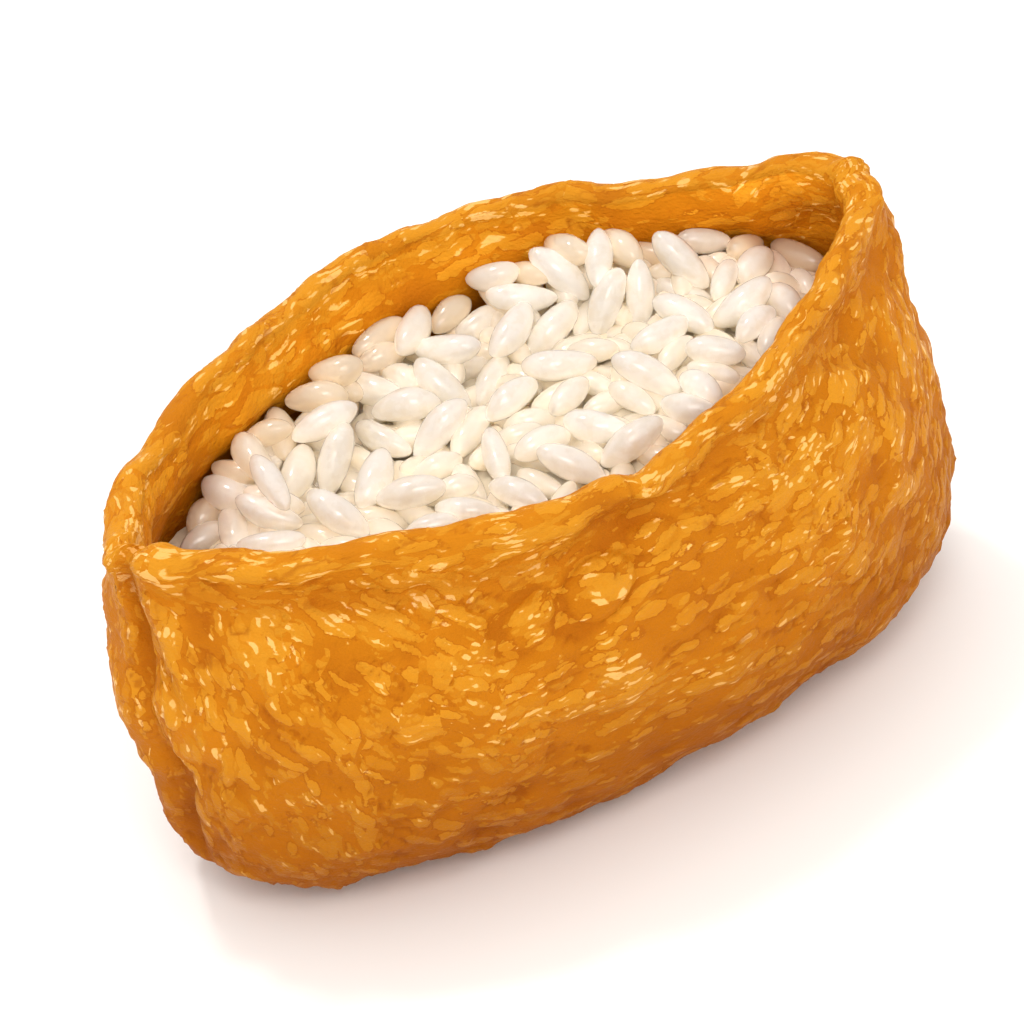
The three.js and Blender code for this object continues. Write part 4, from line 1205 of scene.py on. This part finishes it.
def grain_mesh():
    v, quads, tris, along = grain_template(12, 11)
    nv = len(v)
    n = GRAINS
    spin = rng.uniform(0, 2 * np.pi, n)
    up = np.tile([0.0, 0.0, 1.0], (n, 1))
    side = np.cross(up, g_d)
    bad = np.linalg.norm(side, axis=1) < 1e-3
    side[bad] = [1, 0, 0]
    side /= np.linalg.norm(side, axis=1, keepdims=True)
    third = np.cross(g_d, side)
    e1 = side * np.cos(spin)[:, None] + third * np.sin(spin)[:, None]
    e2 = np.cross(g_d, e1)
    lump = 1 + 0.035 * np.sin(along[None] * rng.uniform(2, 5, n)[:, None] + rng.uniform(0, 6, n)[:, None])
    V = (g_c[:, None] + g_d[:, None] * (v[None, :, 0] * g_L[:, None])[..., None]
         + e1[:, None] * (v[None, :, 1] * g_W[:, None] * lump)[..., None]
         + e2[:, None] * (v[None, :, 2] * g_W[:, None] * lump)[..., None])
    off = (np.arange(n) * nv)[:, None, None]
    Q = (quads[None] + off).reshape(-1, 4)
    T3 = (tris[None] + off).reshape(-1, 3)
    me = bpy.data.meshes.new("rice_grains")
    V = V.reshape(-1, 3) + SHIFT
    me.vertices.add(len(V))
    me.vertices.foreach_set("co", (V * MM).astype(np.float32).ravel())
    me.loops.add(Q.size + T3.size)
    me.loops.foreach_set("vertex_index", np.concatenate([Q.ravel(), T3.ravel()]).astype(np.int32))
    me.polygons.add(len(Q) + len(T3))
    me.polygons.foreach_set("loop_start", np.concatenate([np.arange(len(Q)) * 4, Q.size + np.arange(len(T3)) * 3]).astype(np.int32))
    me.update(calc_edges=True)
    me.validate()
    me.polygons.foreach_set("use_smooth", np.ones(len(me.polygons), bool))
    turn_ = np.concatenate([[np.nan], np.tile(np.arange(12) / 12, (nv - 2) // 12), [np.nan]])
    lay_flat(me, np.tile(turn_, n), np.tile((along + 1) / 2, n), np.repeat(np.arange(n), nv), int(np.ceil(np.sqrt(n))))
    float_attr(me, "tint", np.repeat(rng.normal(0, 1, n).clip(-2, 2), nv))
    float_attr(me, "along", np.tile(along, n))
    # deep: how far a grain lies below the heap top, or for the top grains their level; the material tints deeper grains
    # tan as painted shade
    deep = heap_top(g_c[:, 0], g_c[:, 1]) - g_c[:, 2]
    deep = np.maximum(deep, 1.0)
    deep[:len(TOP_GRAINS)] = 0.4 + (TOP_GRAINS[:, 7] - 1) * 0.8
    float_attr(me, "deep", np.repeat(deep, nv))
    # the grains lying back along the sheet are coloured darker: painted shade from the back sheet
    level = np.full(n, 2.0)
    level[:len(TOP_GRAINS)] = TOP_GRAINS[:, 7]
    back = smooth((4.4 - walls.at(g_c)) / 2.2) * smooth((g_c[:, 1] + 2) / 4) * smooth((level - 1.2) / 0.8)
    float_attr(me, "back", np.repeat(back, nv))
    return me


grains_ob = link(bpy.data.objects.new("rice_grains", grain_mesh()))


def core_mesh():
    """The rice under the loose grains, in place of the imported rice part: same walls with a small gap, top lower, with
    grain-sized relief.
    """
    NC = 150
    t = ang[np.linspace(0, NU, NC, endpoint=False).astype(int)]
    cols = np.linspace(0, NU, NC, endpoint=False).astype(int)
    inner = wall[:, cols]
    rows = []
    top_z = heap_top(inner[-1][:, 0] * 0.93, inner[-1][:, 1] * 0.93) - 3.3
    for s in np.linspace(0.0, 1.0, 11):
        z = 3.4 + (top_z - 3.4) * s
        x = np.array([np.interp(z[k], inner[:, k, 2], inner[:, k, 0]) for k in range(NC)])
        y = np.array([np.interp(z[k], inner[:, k, 2], inner[:, k, 1]) for k in range(NC)])
        p = np.stack([x, y, z], 1)
        m = p.mean(0)
        r = np.linalg.norm(p[:, :2] - m[:2], axis=1)
        p[:, :2] = m[:2] + (p[:, :2] - m[:2]) * (1 - 1.1 / r)[:, None]
        rows.append(p)
    foot = rows[0]
    low = [foot.mean(0) + (foot - foot.mean(0)) * k for k in (0.33, 0.66)]
    edge = rows[-1]
    m = edge.mean(0)
    k_n = 420
    kc = np.stack([rng.uniform(-38, 38, k_n), rng.uniform(-18, 18, k_n)], 1)
    ka = rng.uniform(0, np.pi, k_n)
    kh = rng.uniform(0.2, 1.3, k_n)
    tops = []
    for s in np.linspace(0.955, 0.02, 24):
        p = m + (edge - m) * s
        dx = p[:, None, 0] - kc[None, :, 0]
        dy = p[:, None, 1] - kc[None, :, 1]
        u = dx * np.cos(ka) + dy * np.sin(ka)
        w = -dx * np.sin(ka) + dy * np.cos(ka)
        bumps = (np.sqrt(np.clip(1 - (u / 2.7) ** 2 - (w / 1.3) ** 2, 0, 1)) * 1.1 + kh - 1.1 * (((u / 2.7) ** 2 + (w / 1.3) ** 2) >= 1) * 9).max(1)
        p[:, 2] = heap_top(p[:, 0], p[:, 1]) - 3.9 + np.clip(bumps, 0, 1.8) * smooth((1 - s) / 0.10)
        tops.append(p)
    P_ = np.array(low + rows + tops)
    me, _ = build_grid_mesh("rice_core", P_ + SHIFT)
    grid_flat(me, P_)
    return me


core_ob = link(bpy.data.objects.new("rice_core", core_mesh()))


def rice_material(name, core):
    mat = bpy.data.materials.new(name)
    mat.use_nodes = True
    nt = mat.node_tree
    T = Tree(nt)
    b = nt.nodes["Principled BSDF"]
    tc = nt.nodes.new("ShaderNodeTexCoord")
    mm = T.vec("SCALE", tc.outputs["Object"], scale=1000.0)
    cloud = T.noise(mm, 0.9, 2.0, 0.5).outputs["Fac"]
    if core:
        # painted light: the rice under the grains, seen in the gaps, brighter and warmer than the grains, against the
        # shade there
        c = T.mixcol(T.ramp(cloud, 0.35, 0.65), (0.80, 0.665, 0.475, 1), (0.83, 0.705, 0.515, 1))
    else:
        def attr(nm):
            n = nt.nodes.new("ShaderNodeAttribute")
            n.attribute_name = nm
            return n.outputs["Fac"]
        tint, al, deep, back = (attr(k) for k in ("tint", "along", "deep", "back"))
        c = T.mixcol(T.ramp(tint, -1.6, 1.6), (0.584, 0.528, 0.462, 1), (0.610, 0.560, 0.508, 1))
        c = T.mixcol(T.ramp(T.math("ABSOLUTE", al), 0.55, 1.0, 0.0, 0.25), c, (0.574, 0.500, 0.402, 1))
        c = T.mixcol(T.ramp(cloud, 0.49, 0.53, 0.0, 0.4), c, (0.634, 0.594, 0.548, 1))
        c = T.mixcol(T.ramp(cloud, 0.40, 0.44, 0.3, 0.0), c, (0.564, 0.488, 0.388, 1))
        # painted shade: deeper grains tan, as if shaded by the grains over them
        c = T.mixcol(T.ramp(deep, 0.3, 2.0, 0.0, 0.92), c, (0.625, 0.538, 0.422, 1))
        # painted shade: grains near the back sheet darker
        c = T.mixcol(T.math("MULTIPLY", back, 0.92), c, (0.528, 0.415, 0.288, 1))
    nt.links.new(c, b.inputs["Base Color"])
    b.subsurface_method = "BURLEY"
    b.inputs["Subsurface Weight"].default_value = 0.0 if core else 1.0
    b.inputs["Subsurface Radius"].default_value = (1.0, 0.91, 0.72)
    b.inputs["Subsurface Scale"].default_value = 4.5 * MM
    b.inputs["Roughness"].default_value = 0.45
    b.inputs["Specular IOR Level"].default_value = 0.1 if core else 0.25
    b.inputs["Coat Weight"].default_value = 0.0 if core else 1.0
    b.inputs["Coat Roughness"].default_value = 0.12
    b.inputs["Coat IOR"].default_value = 1.5
    bump = nt.nodes.new("ShaderNodeBump")
    bump.inputs["Strength"].default_value = 0.25
    bump.inputs["Distance"].default_value = MM
    nt.links.new(T.math("MULTIPLY", T.noise(mm, 1.5, 2.0, 0.5).outputs["Fac"], 0.22), bump.inputs["Height"])
    nt.links.new(bump.outputs["Normal"], b.inputs["Normal"])
    return mat


grains_ob.data.materials.append(rice_material("cooked_rice", False))
core_ob.data.materials.append(rice_material("cooked_rice_below", True))
for ob in (grains_ob, core_ob):
    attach(ob, "root")
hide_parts("rice")
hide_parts("rice")

zz = g_c[:, 2] + 1.2
print("grains", GRAINS, "tris", sum(len(p.vertices) - 2 for p in grains_ob.data.polygons), "skin tris", sum(len(p.vertices) - 2 for p in skin.data.polygons))
